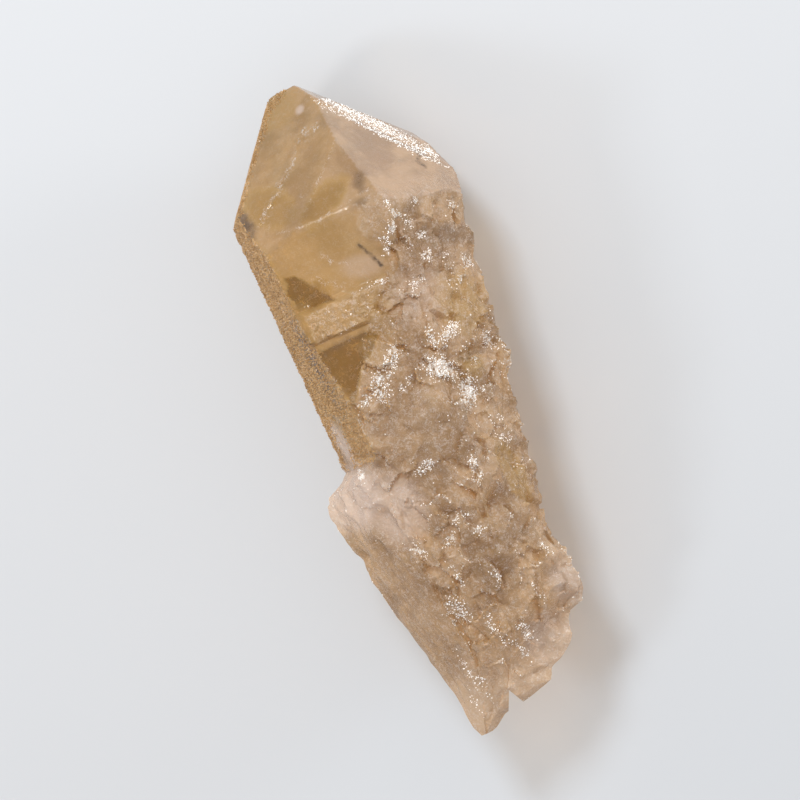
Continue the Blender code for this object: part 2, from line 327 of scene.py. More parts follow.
# The bright line of the front left edge, and the edge between the golden and the front face.
EDGE_LINES: tuple[Line, ...] = (
    ((-24.7, -56.8), (-23.8, -64.7), (-22.5, -73.7), (-21.2, -84.0), (-18.9, -88.6)),
    ((3.2, -18.6), (-3.1, -24.8), (-8.0, -29.2), (-14.0, -34.6)),
    ((-8.7, -56.2), (-4.7, -56.6), (0.5, -57.1)),
    ((-20.8, -80.2), (-11.0, -77.0)),
    ((-20.0, -34.2), (-10.0, -35.6), (0.0, -34.4), (6.5, -33.6)),
)
# The rough streaks that run down the golden face, with white specks painted along them as glints.
STREAK_LINE: Line = (
    (1.0, -12.6), (-4.2, -12.7), (-6.4, -16.0), (-9.8, -19.8), (-13.9, -22.8), (-23.2, -30.4),
)
# The rim between the golden face and the left one.
LEFT_RIM: Line = ((-3.6, 0.0), (-9.0, -3.0), (-19.5, -14.6), (-28.6, -26.4))
# Where the crust of the left side is thin, and where it is bare.
THIN_CRUST: Line = ((-26.0, -56.0), (-24.8, -72.0), (-24.0, -84.0))
BARE_CRUST: Line = ((-26.8, -84.0), (-28.4, -96.0))
# The bright band beside the right face: crumbly frost, painted whiter as the highlight that it
# catches.
FROST_AND_HIGHLIGHT_BAND: Line = (
    (6.2, -8.6), (11.0, -13.4), (16.8, -21.0), (24.6, -31.5),
)
# Milky places.
PALE_SPOTS: tuple[Spot, ...] = (
    (-1.3, -6.6, 1.3, 0.9, 30.0, 0.9),
    (-4.0, -50.8, 5.0, 3.0, -20.0, 0.4),
    (-31.0, -104.5, 9.0, 8.0, 0.0, 1.0),
    (-22.0, -111.0, 7.0, 9.0, 0.0, 0.7),
    (-22.0, -166.0, 8.0, 12.0, 0.0, 0.2),
    (11.0, -148.0, 5.0, 8.0, 0.0, 0.5),
    (1.0, -160.0, 8.0, 8.0, 0.0, 0.5),
    (26.5, -37.0, 5.5, 4.0, -20.0, 0.3),
    (-27.5, -90.0, 1.4, 7.0, 8.0, 1.0),
    (6.0, -64.0, 8.0, 7.0, 0.0, 0.25),
)


def keyed(table: Table, y: np.ndarray) -> np.ndarray:
    """Reads a (y, value) table, level beyond its ends.

    Args:
        table: Pairs of y and value, in any order.
        y: Where to read it.

    Returns:
        The value at each y.
    """
    ordered = sorted(table)
    return np.interp(y, [row[0] for row in ordered], [row[1] for row in ordered])


def ramp(value: np.ndarray, low: float, high: float) -> np.ndarray:
    """Rises smoothly from 0 at low to 1 at high.

    Args:
        value: The numbers to map.
        low: Where the rise starts.
        high: Where it ends.

    Returns:
        The share of the rise at each number.
    """
    share = np.clip((value - low) / (high - low), 0.0, 1.0)
    return share * share * (3.0 - 2.0 * share)


def unit(vectors: np.ndarray) -> np.ndarray:
    """The vectors at length 1."""
    return vectors / np.linalg.norm(vectors, axis=-1, keepdims=True)


def rumple(
    points: np.ndarray, scale: float, seed: int, drawn: tuple[float, float] = (1.0, 1.0)
) -> np.ndarray:
    """Smooth noise.

    Args:
        points: Where to read it, one row a point.
        scale: About the size of its features.
        seed: Which noise.
        drawn: How fast it changes across and along the crystal: less than 1 draws it out.

    Returns:
        A number of about -1 to 1 for each point.
    """
    shift = Vector((seed * 7.3, seed * 3.1, seed * 5.7))
    scaled = points * np.array([drawn[0], drawn[1], drawn[0]]) / scale
    return np.array([noise.noise(Vector(point) + shift) for point in scaled])


def face_distances(points: np.ndarray) -> np.ndarray:
    """How far each design point lies inside each face of the point, one column a face."""
    distances = []
    for across, up, height in POINT_FACES.values():
        steep = math.sqrt(1.0 + across * across + up * up)
        inside = across * points[:, 0] + up * points[:, 2] + height - points[:, 1]
        distances.append(inside / steep)
    return np.stack(distances, 1)


def crumbled(points: np.ndarray, scale: float, seed: int) -> np.ndarray:
    """Flat chips, each tilted its own way, as a broken or etched surface has them.

    Args:
        points: Where to read it, one row a point.
        scale: About the size of a chip.
        seed: Which pattern.

    Returns:
        The height of the chips, in the points' own unit.
    """
    shift = Vector((seed * 3.7, seed * 5.3, seed * 2.9))
    cells = (noise.voronoi(Vector(point) + shift) for point in points / scale)
    centres = np.array([cell[1][0][:] for cell in cells])
    away = (points / scale + np.array(shift) - centres) * scale
    tilt = np.mod(np.sin(centres @ CHIP_MIX) * CHIP_SPREAD, 1.0) - 0.5
    return (tilt * away).sum(1) + 0.25 * scale * tilt[:, 0]


def to_part(points: np.ndarray) -> np.ndarray:
    """Turns design points in millimetres into the part's points in metres."""
    return (points - np.array([CENTRE_X, CENTRE_Y, -PRISM_HALF])) * MM


def to_design(points: np.ndarray) -> np.ndarray:
    """Turns the part's points in metres into design points in millimetres."""
    return points / MM + np.array([CENTRE_X, CENTRE_Y, -PRISM_HALF])


def picture_plane(points: np.ndarray) -> tuple[np.ndarray, np.ndarray]:
    """Where design points lie as seen from the front.

    Args:
        points: Design points, one row a point.

    Returns:
        Their u, across, and v, along the crystal.
    """
    u = points[:, 0] * math.cos(VIEW_TURN) - points[:, 2] * math.sin(VIEW_TURN)
    return u, points[:, 1]


def spotted(u: np.ndarray, v: np.ndarray, spots: Sequence[Spot], soft: float) -> np.ndarray:
    """Marks soft-edged ellipses on the picture plane.

    Args:
        u: Place across.
        v: Place along.
        spots: The ellipses.
        soft: Share of the radius over which an ellipse fades.

    Returns:
        The strongest mark at each place, from 0 to 1.
    """
    mark = np.zeros(len(u))
    for centre_u, centre_v, half_u, half_v, turn, strength in spots:
        angle = math.radians(turn)
        across = (u - centre_u) * math.cos(angle) + (v - centre_v) * math.sin(angle)
        along = (v - centre_v) * math.cos(angle) - (u - centre_u) * math.sin(angle)
        away = np.sqrt((across / half_u) ** 2 + (along / half_v) ** 2)
        mark = np.maximum(mark, strength * (1.0 - ramp(away, 1.0 - soft, 1.0 + soft)))
    return mark


def line_distance(u: np.ndarray, v: np.ndarray, line: Sequence[Sequence[float]]) -> np.ndarray:
    """How far each place is from a broken line."""
    nearest = np.full(len(u), FAR)
    for (u0, v0), (u1, v1) in zip(line, line[1:]):
        run_u, run_v = u1 - u0, v1 - v0
        share = ((u - u0) * run_u + (v - v0) * run_v) / max(run_u**2 + run_v**2, TINY)
        share = np.clip(share, 0.0, 1.0)
        away = np.hypot(u - u0 - share * run_u, v - v0 - share * run_v)
        nearest = np.minimum(nearest, away)
    return nearest


def enclosed(u: np.ndarray, v: np.ndarray, outline: Sequence[Sequence[float]]) -> np.ndarray:
    """Whether each place is inside an outline."""
    inside = np.zeros(len(u), bool)
    for (u0, v0), (u1, v1) in zip(outline, (*outline[1:], outline[0])):
        rise = v1 - v0 if v1 != v0 else 1.0
        inside ^= ((v0 > v) != (v1 > v)) & (u < u0 + (v - v0) * (u1 - u0) / rise)
    return inside


def strip_mark(u: np.ndarray, v: np.ndarray, line: Line, half_width: float) -> np.ndarray:
    """Marks a strip along a broken line on the picture plane.

    Args:
        u: Place across.
        v: Place along.
        line: The points of the line.
        half_width: Half the strip's width.

    Returns:
        1 on the line, falling to 0 at the strip's edge.
    """
    return 1.0 - ramp(line_distance(u, v, line), 0.3 * half_width, half_width)


def outlined(u: np.ndarray, v: np.ndarray, outline: Line, soft: float) -> np.ndarray:
    """Marks the inside of an outline on the picture plane.

    Args:
        u: Place across.
        v: Place along.
        outline: The corners of the outline, in order.
        soft: The width of its soft rim.

    Returns:
        1 well inside, 0 outside.
    """
    rim = 1.0 - strip_mark(u, v, (*outline, outline[0]), soft)
    return enclosed(u, v, outline) * rim


def inner_points(border: np.ndarray, step: float, seed: int) -> np.ndarray:
    """Scatters points evenly inside a flat outline.

    Args:
        border: The outline's points, in order.
        step: The distance between points.
        seed: Which scatter.

    Returns:
        The points, none of them near the outline.
    """
    row_height, scatter, clear_rim = 0.87, 0.16, 0.45
    rng = np.random.default_rng(seed)
    low, high = border.min(0), border.max(0)
    across, along = np.meshgrid(
        np.arange(low[0], high[0], step), np.arange(low[1], high[1], step * row_height)
    )
    across[1::2] += 0.5 * step
    points = np.stack([across.ravel(), along.ravel()], 1)
    points += rng.uniform(-scatter, scatter, points.shape) * step
    nearest = line_distance(*points.T, (*border, border[0]))
    return points[enclosed(*points.T, tuple(border)) & (nearest > clear_rim * step)]


def object_from(name: str, bm: bmesh.types.BMesh) -> bpy.types.Object:
    """Puts a bmesh in the scene as an object at the origin, and frees it."""
    mesh = bpy.data.meshes.new(name)
    bm.to_mesh(mesh)
    bm.free()
    obj = bpy.data.objects.new(name, mesh)
    bpy.context.scene.collection.objects.link(obj)
    return obj


def plain_mesh(obj: bpy.types.Object) -> None:
    """Applies an object's modifiers, so that what they make is its own mesh."""
    bpy.context.view_layer.update()
    graph = bpy.context.evaluated_depsgraph_get()
    made = bpy.data.meshes.new_from_object(obj.evaluated_get(graph))
    old = obj.data
    obj.modifiers.clear()
    obj.data = made
    made.name = obj.name
    bpy.data.meshes.remove(old)


def convexity(mesh: bpy.types.Mesh, points: np.ndarray, normals: np.ndarray) -> np.ndarray:
    """How far each point of a mesh stands out from its neighbours, below zero in a hollow."""
    ends = np.empty(len(mesh.edges) * 2, np.int32)
    mesh.edges.foreach_get("vertices", ends)
    first, second = ends.reshape(-1, 2).T
    total = np.zeros_like(points)
    count = np.zeros(len(points))
    for here, there in ((first, second), (second, first)):
        np.add.at(total, here, points[there])
        np.add.at(count, here, 1.0)
    middle = total / np.maximum(count, 1.0)[:, None]
    return ((points - middle) * normals).sum(1)


def set_mark(mesh: bpy.types.Mesh, mark: Mark, values: np.ndarray) -> None:
    """Writes one number for each point of a mesh as an attribute."""
    layer = mesh.attributes.new(mark.value, "FLOAT", "POINT")
    layer.data.foreach_set("value", np.clip(values, 0.0, 1.0).astype(np.float32))


@dataclass(frozen=True)
class Bowls:
    """Round bowls that etching left, sharp-rimmed where two of them meet.

    Attributes:
        seed: Which scatter.
        count: How many.
        radius: The smallest and the largest.
        depth: The shallowest and the deepest.
        flattest: The least that a bowl is drawn out along the crystal.
        low: One corner of the box that they are scattered in.
        high: The other.
    """

    seed: int
    count: int
    radius: tuple[float, float]
    depth: tuple[float, float]
    flattest: float = 0.6
    low: tuple[float, float, float] = (-42.0, ROOT_END, -PRISM_HALF)
    high: tuple[float, float, float] = (34.0, -36.0, PRISM_HALF + 2.0)

    def carved(self, points: np.ndarray) -> np.ndarray:
        """Depth of the bowls.

        Args:
            points: Design points, one row a point.

        Returns:
            How deep the surface is carved at each point.
        """
        rng = np.random.default_rng(self.seed)
        order = np.argsort(points[:, 1])
        ordered = points[order]
        carved = np.zeros(len(points))
        for _ in range(self.count):
            centre = rng.uniform(self.low, self.high)
            reach = rng.uniform(*self.radius)
            deep = rng.uniform(*self.depth)
            stretch = np.array([1.0, rng.uniform(self.flattest, 1.0), 1.0])
            span = reach / stretch[1]
            first, last = np.searchsorted(ordered[:, 1], [centre[1] - span, centre[1] + span])
            near = ordered[first:last]
            away = (((near - centre) * stretch) ** 2).sum(1) / reach**2
            carved[first:last] = np.maximum(carved[first:last], deep * (1.0 - away))
        back = np.empty_like(carved)
        back[order] = carved
        return back


@dataclass(frozen=True)
class WallPoints:
    """Rows of points round the crystal, each with what the carving needs to know of it.

    Attributes:
        points: The design points.
        outward: The direction of relief, as (x, z).
        away: The direction away from the axis, as (x, z).
        side: The side that each is on.
        ends: The distances to the two corners of that side.
    """

    points: np.ndarray
    outward: np.ndarray
    away: np.ndarray
    side: np.ndarray
    ends: np.ndarray


@dataclass(frozen=True)
class PlainWall:
    """The wall's points before any carving, as the relief sees them.

    Attributes:
        flat: The design points.
        side: The side that each is on.
        etched: How strongly each is etched.
    """

    flat: np.ndarray
    side: np.ndarray
    etched: np.ndarray

    @property
    def x(self) -> np.ndarray:
        """Place across the crystal."""
        return self.flat[:, 0]

    @property
    def y(self) -> np.ndarray:
        """Place along the crystal."""
        return self.flat[:, 1]

    @property
    def u(self) -> np.ndarray:
        """Place across the picture plane."""
        return picture_plane(self.flat)[0]

    @property
    def front(self) -> np.ndarray:
        """Whether a point is on the front."""
        return self.side == Side.FRONT

    @property
    def past_corner(self) -> np.ndarray:
        """How far a point is to the right of the front's right corner."""
        return self.x - keyed(FRONT_RIGHT_CORNER, self.y)


@dataclass
class Habit:
    """The crystal's outer form, with all the relief that its surface has.

    Attributes:
        ledge_at: Below this the right side steps in, under a blocky overhang.
        ledge_depth: How far it steps in.
        ledge_fade: Between these the step runs out again.
        edge_wear: How far the front edges are worn down where the faces are etched.
        edge_wear_reach: How far that wear spreads to either side.
        right_wear: Between these depths it sets in on the right.
        left_wear: And on the left.
        corner_turn: The surface's outward direction turns over this length beside a corner.
        right_etch: Between these depths the etching sets in on the right sides.
        left_etch: And on the left sides.
        left_calm: Between these it calms down again there.
        steps_end: The growth steps end here.
        rest_end: The flat rest face ends here.
        ribs_from: Between these depths the fine ribs set in.
        root_from: Between these the coarse ribs of the root do.
        root_taper: Between these the finer relief fades towards the tip of the root.
        tip_from: Below this all relief fades.
        large: The largest bowls.
        small: Smaller ones.
        fine: The finest.
    """

    ledge_at: float = -80.5
    ledge_depth: float = 2.0
    ledge_fade: tuple[float, float] = (-108.0, -86.0)
    edge_wear: float = 3.0
    edge_wear_reach: float = 5.5
    right_wear: tuple[float, float] = (41.0, 50.0)
    left_wear: tuple[float, float] = (94.0, 104.0)
    corner_turn: float = 4.0
    right_etch: tuple[float, float] = (40.0, 45.0)
    left_etch: tuple[float, float] = (96.0, 100.0)
    left_calm: tuple[float, float] = (118.0, 130.0)
    steps_end: float = -80.0
    rest_end: float = -134.5
    ribs_from: tuple[float, float] = (100.0, 118.0)
    root_from: tuple[float, float] = (128.0, 150.0)
    root_taper: tuple[float, float] = (-168.0, -145.0)
    tip_from: float = -160.0
    large: Bowls = Bowls(11, 150, (5.0, 10.0), (1.6, 3.4))
    small: Bowls = Bowls(23, 520, (2.4, 4.6), (0.7, 1.5))
    fine: Bowls = Bowls(31, 9000, (1.2, 2.6), (0.4, 1.0))

    def corners(self, y: np.ndarray) -> np.ndarray:
        """The six corners (x, z) of the section at each y, from the left edge round by the front."""
        return np.stack([np.stack([keyed(x, y), keyed(z, y)], -1) for x, z in SECTION], axis=1)

    def wall(self) -> WallPoints:
        """The prism's wall, before any carving."""
        rows = round((SHOULDER - ROOT_END) / ROW_STEP)
        heights = np.concatenate([[PRISM_TOP], np.linspace(SHOULDER, ROOT_END, rows + 1)])
        corners = self.corners(heights)
        middle = corners.mean(axis=1)
        columns = []
        for side in Side:
            count = round(SIDE_WIDTH / COLUMN_STEP[side])
            start, end = corners[:, side], corners[:, (side + 1) % len(Side)]
            across = end - start
            length = np.linalg.norm(across, axis=1)
            face = unit(np.stack([-across[:, 1], across[:, 0]], -1))
            for step in range(count):
                share = step / count
                place = start + across * share
                away = unit(place - middle)
                ends = np.stack([share * length, (1.0 - share) * length], -1)
                turned = np.minimum(ends.min(1) / self.corner_turn, 1.0)[:, None]
                outward = unit(face * turned + away * (1.0 - turned))
                columns.append((place, outward, away, np.full(len(heights), side), ends))
        place, outward, away, side, ends = (np.stack(part, 1) for part in zip(*columns))
        y = np.repeat(heights[:, None], place.shape[1], 1)
        points = np.stack([place[..., 0], y, place[..., 1]], -1)
        return WallPoints(points, outward, away, side, ends)

    def etching(self, side: np.ndarray, x: np.ndarray, y: np.ndarray) -> np.ndarray:
        """How strongly the wall is etched, from 0 on a sound crystal face to 1."""
        front = (side == Side.FRONT) * ramp(x - keyed(ETCHED_FROM, y), *ETCH_BORDER)
        right = (side == Side.RIGHT_FRONT) | (side == Side.RIGHT_BACK)
        right = right * ramp(-y, *self.right_etch)
        bulge = ramp(-y, *self.left_etch) * (1.0 - 0.75 * ramp(-y, *self.left_calm))
        left = ((side == Side.LEFT_FRONT) | (side == Side.LEFT_BACK)) * bulge
        return np.maximum(np.maximum(front, right), left)

    def wear(self, side: np.ndarray, y: np.ndarray, ends: np.ndarray) -> np.ndarray:
        """How far the two front edges are worn down at each point."""
        nearest = (ends[:, 1], ends[:, 0])
        to_right = np.select((side == Side.FRONT, side == Side.RIGHT_FRONT), nearest, FAR)
        to_left = np.select((side == Side.LEFT_FRONT, side == Side.FRONT), nearest, FAR)
        right = np.exp(-to_right / self.edge_wear_reach) * ramp(-y, *self.right_wear)
        left = np.exp(-to_left / self.edge_wear_reach) * ramp(-y, *self.left_wear)
        return self.edge_wear * (right + left)

    def etch_terms(self, at: PlainWall) -> list[np.ndarray]:
        """The rise from coarse bowls, waves, fine bowls and chips."""
        depth = np.where(at.front, 0.55 + 0.45 * ramp(at.past_corner, -9.0, 0.0), 1.0)
        carved = np.maximum(self.large.carved(at.flat), self.small.carved(at.flat))
        fine_here = at.etched * (1.0 - 0.75 * spotted(at.u, at.y, (CALM_SPOT,), 0.35) * at.front)
        taper = ramp(at.y, *self.root_taper)
        chips = 0.5 * crumbled(at.flat, 6.0, 51) + 0.22 * crumbled(at.flat, 2.6, 52)
        leftward = (at.side == Side.LEFT_FRONT) | (at.side == Side.LEFT_BACK)
        return [
            -at.etched * depth * carved,
            at.etched * 0.5 * rumple(at.flat, 4.0, 3),
            -fine_here * 0.9 * self.fine.carved(at.flat) * (0.3 + 0.7 * taper),
            fine_here * chips * np.where(leftward, 0.35, 1.0) * (0.2 + 0.8 * taper),
        ]

    def growth_terms(self, at: PlainWall) -> list[np.ndarray]:
        """The rise from the hump, the growth steps, the striations and the rough band."""
        sound = 1.0 - at.etched
        stepped = at.front & (at.y > self.steps_end)
        slanted = at.y + 0.05 * at.x + 0.35 * rumple(at.flat, 3.0, 13, (1.0, 0.2))
        prism = sound * (at.y > BULGE_TOP)
        hump = 0.8 * spotted(at.u, at.y, (HUMP,), 0.2)
        rough = at.front * np.maximum(outlined(at.u, at.y, ROUGH_BAND, 1.0), hump)
        crumbs = 0.16 * rumple(at.flat, 0.8, 14) + 0.5 * crumbled(at.flat, 1.5, 53)
        return [
            at.front * 0.9 * spotted(at.u, at.y, (HUMP,), 0.35),
            stepped * sound * keyed(FRONT_STEPS, slanted),
            prism * 0.07 * rumple(at.flat, 0.9, 6, (0.12, 1.0)),
            prism * 0.12 * rumple(at.flat, 3.2, 7, (0.2, 1.0)),
            rough * sound * crumbs,
        ]

    def root_terms(self, at: PlainWall) -> list[np.ndarray]:
        """The rise from the ledge and from the ribs of the root."""
        right = at.side == Side.RIGHT_FRONT
        ledge = right * ramp(-at.y, -self.ledge_at, -self.ledge_at + 1.5)
        ledge *= ramp(at.past_corner, 0.0, 5.0)
        root = ramp(-at.y, *self.root_from)
        low = ramp(-at.y, *self.ribs_from)
        return [
            -self.ledge_depth * ledge * ramp(at.y, *self.ledge_fade),
            root * 0.8 * (at.front | right) * rumple(at.flat, 3.2, 9, (1.0, 0.12)),
            low * 0.28 * rumple(at.flat, 1.4, 10, (1.0, 0.3)),
            root * 0.25 * rumple(at.flat, 1.3, 17, (1.0, 0.14)),
        ]

    def skin_terms(self, at: PlainWall) -> list[np.ndarray]:
        """The rise from the crusted left side and from the frosted places."""
        left = (at.side == Side.LEFT_FRONT) & (at.y > BULGE_TOP)
        frost = spotted(at.u, at.y, FROST_SPOTS, 0.4) * (at.front | (at.side == Side.RIGHT_FRONT))
        return [
            left * (0.35 * rumple(at.flat, 1.9, 5) + 0.2 * rumple(at.flat, 0.8, 15)),
            frost * (0.25 * rumple(at.flat, 0.8, 16) + 0.6 * crumbled(at.flat, 1.3, 54)),
        ]

    def relief(self, at: PlainWall) -> np.ndarray:
        """How far each point of the wall is raised, apart from the wear of its edges.

        Each term is the share of it that a place has, times its height in millimetres, times
        a pattern that is given by its size, its seed and how it is drawn out.

        Args:
            at: The plain wall.

        Returns:
            The rise along the outward direction, below zero where it is carved.
        """
        raised = np.zeros(len(at.flat))
        for part in (self.etch_terms, self.growth_terms, self.root_terms, self.skin_terms):
            for term in part(at):
                raised += term
        raised[(at.side == Side.REST) & (at.y > self.rest_end)] = 0.0
        return raised

    def carved_wall(self) -> np.ndarray:
        """The rows of points with growth steps, etched bowls, ribs, the ledge and worn edges."""
        wall = self.wall()
        shape = wall.points.shape
        flat = wall.points.reshape(-1, 3)
        sides = wall.side.reshape(-1)
        y = flat[:, 1]
        raised = self.relief(PlainWall(flat, sides, self.etching(sides, flat[:, 0], y)))
        worn = self.wear(sides, y, wall.ends.reshape(-1, 2)) * (1.0 + 0.4 * rumple(flat, 9.0, 8))
        fade = 0.25 + 0.75 * ramp(y, ROOT_END, self.tip_from)
        moved = wall.outward.reshape(-1, 2) * (raised * fade)[:, None]
        moved -= wall.away.reshape(-1, 2) * (worn * fade)[:, None]
        carved = flat.copy()
        carved[:, 0] += moved[:, 0]
        carved[:, 2] += moved[:, 1]
        carved[:, 2] = np.maximum(carved[:, 2], -PRISM_HALF)
        return carved.reshape(shape)


@dataclass
class CrystalMesh:
    """The crystal's closed mesh: the carved wall, cut by the faces of the point.

    Attributes:
        habit: The outer form.
        worn_rim: How far an edge between two faces is rounded, as a share of one smoothing.
        rim_passes: How many times it is smoothed.
        rim_turn: Edges that turn less than this aren't.
        weld: Points closer than this to a cutting plane lie on it, in metres.
    """

    habit: Habit = field(default_factory=Habit)
    worn_rim: float = 0.5
    rim_passes: int = 2
    rim_turn: float = math.radians(8.0)
    weld: float = 1e-7

    def blank(self) -> bmesh.types.BMesh:
        """The closed body before the faces of the point are cut."""
        wall = to_part(self.habit.carved_wall())
        bm = bmesh.new()
        rows = [[bm.verts.new(point) for point in row] for row in wall.tolist()]
        count = len(rows[0])
        for upper, lower in zip(rows, rows[1:]):
            for k in range(count):
                after = (k + 1) % count
                bm.faces.new((upper[k], upper[after], lower[after], lower[k]))
        bm.faces.new(list(reversed(rows[0])))
        bm.faces.new(rows[-1])
        bmesh.ops.recalc_face_normals(bm, faces=bm.faces)
        return bm

    def cut_face(self, bm: bmesh.types.BMesh, plane: tuple[float, float, float], tag: int) -> None:
        """Cuts the body along one face of the point and closes it there.

        Args:
            bm: The body.
            plane: The face's across, up and height.
            tag: The number that its new surface carries.
        """
        across, up, height = plane
        facet = bm.faces.layers.int[FACET_LAYER]
        cut = bmesh.ops.bisect_plane(
            bm,
            geom=bm.verts[:] + bm.edges[:] + bm.faces[:],
            dist=self.weld,
            plane_co=to_part(np.array([0.0, height, 0.0])),
            plane_no=Vector((-across, 1.0, -up)).normalized(),
            clear_outer=True,
        )
        border = [e for e in cut["geom_cut"] if isinstance(e, bmesh.types.BMEdge)]
        if not border:
            return
        for face in bmesh.ops.edgeloop_fill(bm, edges=border)["faces"]:
            face[facet] = tag

    def split_rims(self, bm: bmesh.types.BMesh) -> None:
        """Divides the long straight edges between two faces of the point."""
        facet = bm.faces.layers.int[FACET_LAYER]
        cuts: dict[int, list[bmesh.types.BMEdge]] = {}
        for edge in bm.edges:
            parts = round(edge.calc_length() / (FACET_STEP * MM))
            if parts > 1 and any(f[facet] for f in edge.link_faces):
                cuts.setdefault(parts - 1, []).append(edge)
        for count, edges in sorted(cuts.items()):
            bmesh.ops.subdivide_edges(bm, edges=edges, cuts=count)

    def fill_face(self, bm: bmesh.types.BMesh, face: bmesh.types.BMFace) -> None:
        """Turns one face of the point into small triangles, so that it can carry relief.

        Args:
            bm: The body.
            face: The face, whose own rim is kept.
        """
        facet = bm.faces.layers.int[FACET_LAYER]
        tag, normal, rim = face[facet], face.normal.copy(), list(face.verts)
        first = normal.cross(Vector((0.0, 0.0, 1.0))).normalized()
        second = normal.cross(first)
        lift = normal.dot(rim[0].co)
        border = np.array([(first.dot(v.co), second.dot(v.co)) for v in rim]) / MM
        inner = inner_points(border, FACET_STEP, tag)
        flat = [Vector(p) for p in np.concatenate([border, inner])]
        made = delaunay_2d_cdt(flat, [], [list(range(len(rim)))], INSIDE_ONLY, MERGE_WITHIN)
        bm.faces.remove(face)
        places = {}
        for index, (point, source) in enumerate(zip(made[0], made[3])):
            on_rim = [k for k in source if k < len(rim)]
            if on_rim:
                places[index] = rim[on_rim[0]]
            else:
                places[index] = bm.verts.new(
                    first * (point.x * MM) + second * (point.y * MM) + normal * lift
                )
        for corners in made[2]:
            triangle = bm.faces.new([places[k] for k in corners])
            triangle[facet] = tag

    def facet_relief(self, points: np.ndarray) -> np.ndarray:
        """How far the faces of the point are raised at each design point.

        Args:
            points: Design points on or off those faces.

        Returns:
            The rise along the face's own direction, zero off the faces and at their edges.
        """
        u, v = picture_plane(points)
        near = np.sort(face_distances(points), axis=1)
        on_face = near[:, 0] < 0.01
        fade = on_face * ramp(near[:, 1], 0.05, 1.1)
        raised = 0.09 * rumple(points, 5.0, 21) + 0.025 * rumple(points, 1.1, 22)
        raised += 0.1 * rumple(points, 1.6, 23, (0.25, 1.0))
        streak = strip_mark(u, v, STREAK_LINE, 0.9)
        raised += streak * (0.1 + 0.35 * rumple(points, 0.9, 24))
        band = strip_mark(u, v, FROST_AND_HIGHLIGHT_BAND, 3.0)
        raised += band * (0.2 * rumple(points, 0.9, 25) + 0.9 * crumbled(points, 1.7, 55))
        return fade * raised

    def shift_facets(self, bm: bmesh.types.BMesh) -> None:
        """Gives the faces of the point their low relief and wears their edges."""
        facet = bm.faces.layers.int[FACET_LAYER]
        verts = {v for f in bm.faces if f[facet] for v in f.verts}
        verts = sorted(verts, key=lambda v: v.index)
        points = to_design(np.array([v.co[:] for v in verts]))
        bm.normal_update()
        for vert, rise in zip(verts, self.facet_relief(points)):
            if rise:
                vert.co += vert.normal * float(rise * MM)
        rim = {
            v
            for e in bm.edges
            if len(e.link_faces) == 2
            and e.link_faces[0][facet] != e.link_faces[1][facet]
            and e.calc_face_angle(0.0) > self.rim_turn
            for v in e.verts
        }
        rim = sorted(rim, key=lambda v: v.index)
        axes = {"use_axis_x": True, "use_axis_y": True, "use_axis_z": True}
        for _ in range(self.rim_passes):
            bmesh.ops.smooth_vert(bm, verts=rim, factor=self.worn_rim, **axes)

    def notch_cutter(self) -> bmesh.types.BMesh:
        """A wedge for the notch between the two lobes of the broken end."""
        tip_x, tip_y, half_width, drop, reach = -15.6, -166.4, 3.4, 7.0, 20.0
        outline = (
            (tip_x, tip_y),
            (tip_x + half_width, tip_y - drop),
            (tip_x - half_width, tip_y - drop),
        )
        lean = reach * math.sin(VIEW_TURN)
        bm = bmesh.new()
        low = [bm.verts.new(to_part(np.array([x - lean, y, -reach]))) for x, y in outline]
        high = [bm.verts.new(to_part(np.array([x + lean, y, reach]))) for x, y in outline]
        bm.faces.new(low)
        bm.faces.new(list(reversed(high)))
        for k in range(3):
            after = (k + 1) % 3
            bm.faces.new((low[k], high[k], high[after], low[after]))
        bmesh.ops.recalc_face_normals(bm, faces=bm.faces)
        return bm

    def build(self, name: str) -> bpy.types.Object:
        """Makes the crystal.

        Args:
            name: The object's name.

        Returns:
            The object, with its mesh in place.
        """
        bm = self.blank()
        bm.faces.layers.int.new(FACET_LAYER)
        for tag, plane in enumerate(POINT_FACES.values(), start=1):
            self.cut_face(bm, plane, tag)
        bmesh.ops.recalc_face_normals(bm, faces=bm.faces)
        self.split_rims(bm)
        facet = bm.faces.layers.int[FACET_LAYER]
        for face in [f for f in bm.faces if f[facet]]:
            self.fill_face(bm, face)
        bmesh.ops.recalc_face_normals(bm, faces=bm.faces)
        bm.verts.index_update()
        self.shift_facets(bm)
        bmesh.ops.triangulate(bm, faces=[f for f in bm.faces if len(f.verts) > 4])
        crystal = object_from(name, bm)
        cutter = object_from("root_notch_cutter", self.notch_cutter())
        notch = crystal.modifiers.new("root_notch", "BOOLEAN")
        notch.operation = "DIFFERENCE"
        notch.solver = "EXACT"
        notch.object = cutter
        plain_mesh(crystal)
        bpy.data.objects.remove(cutter)
        return crystal


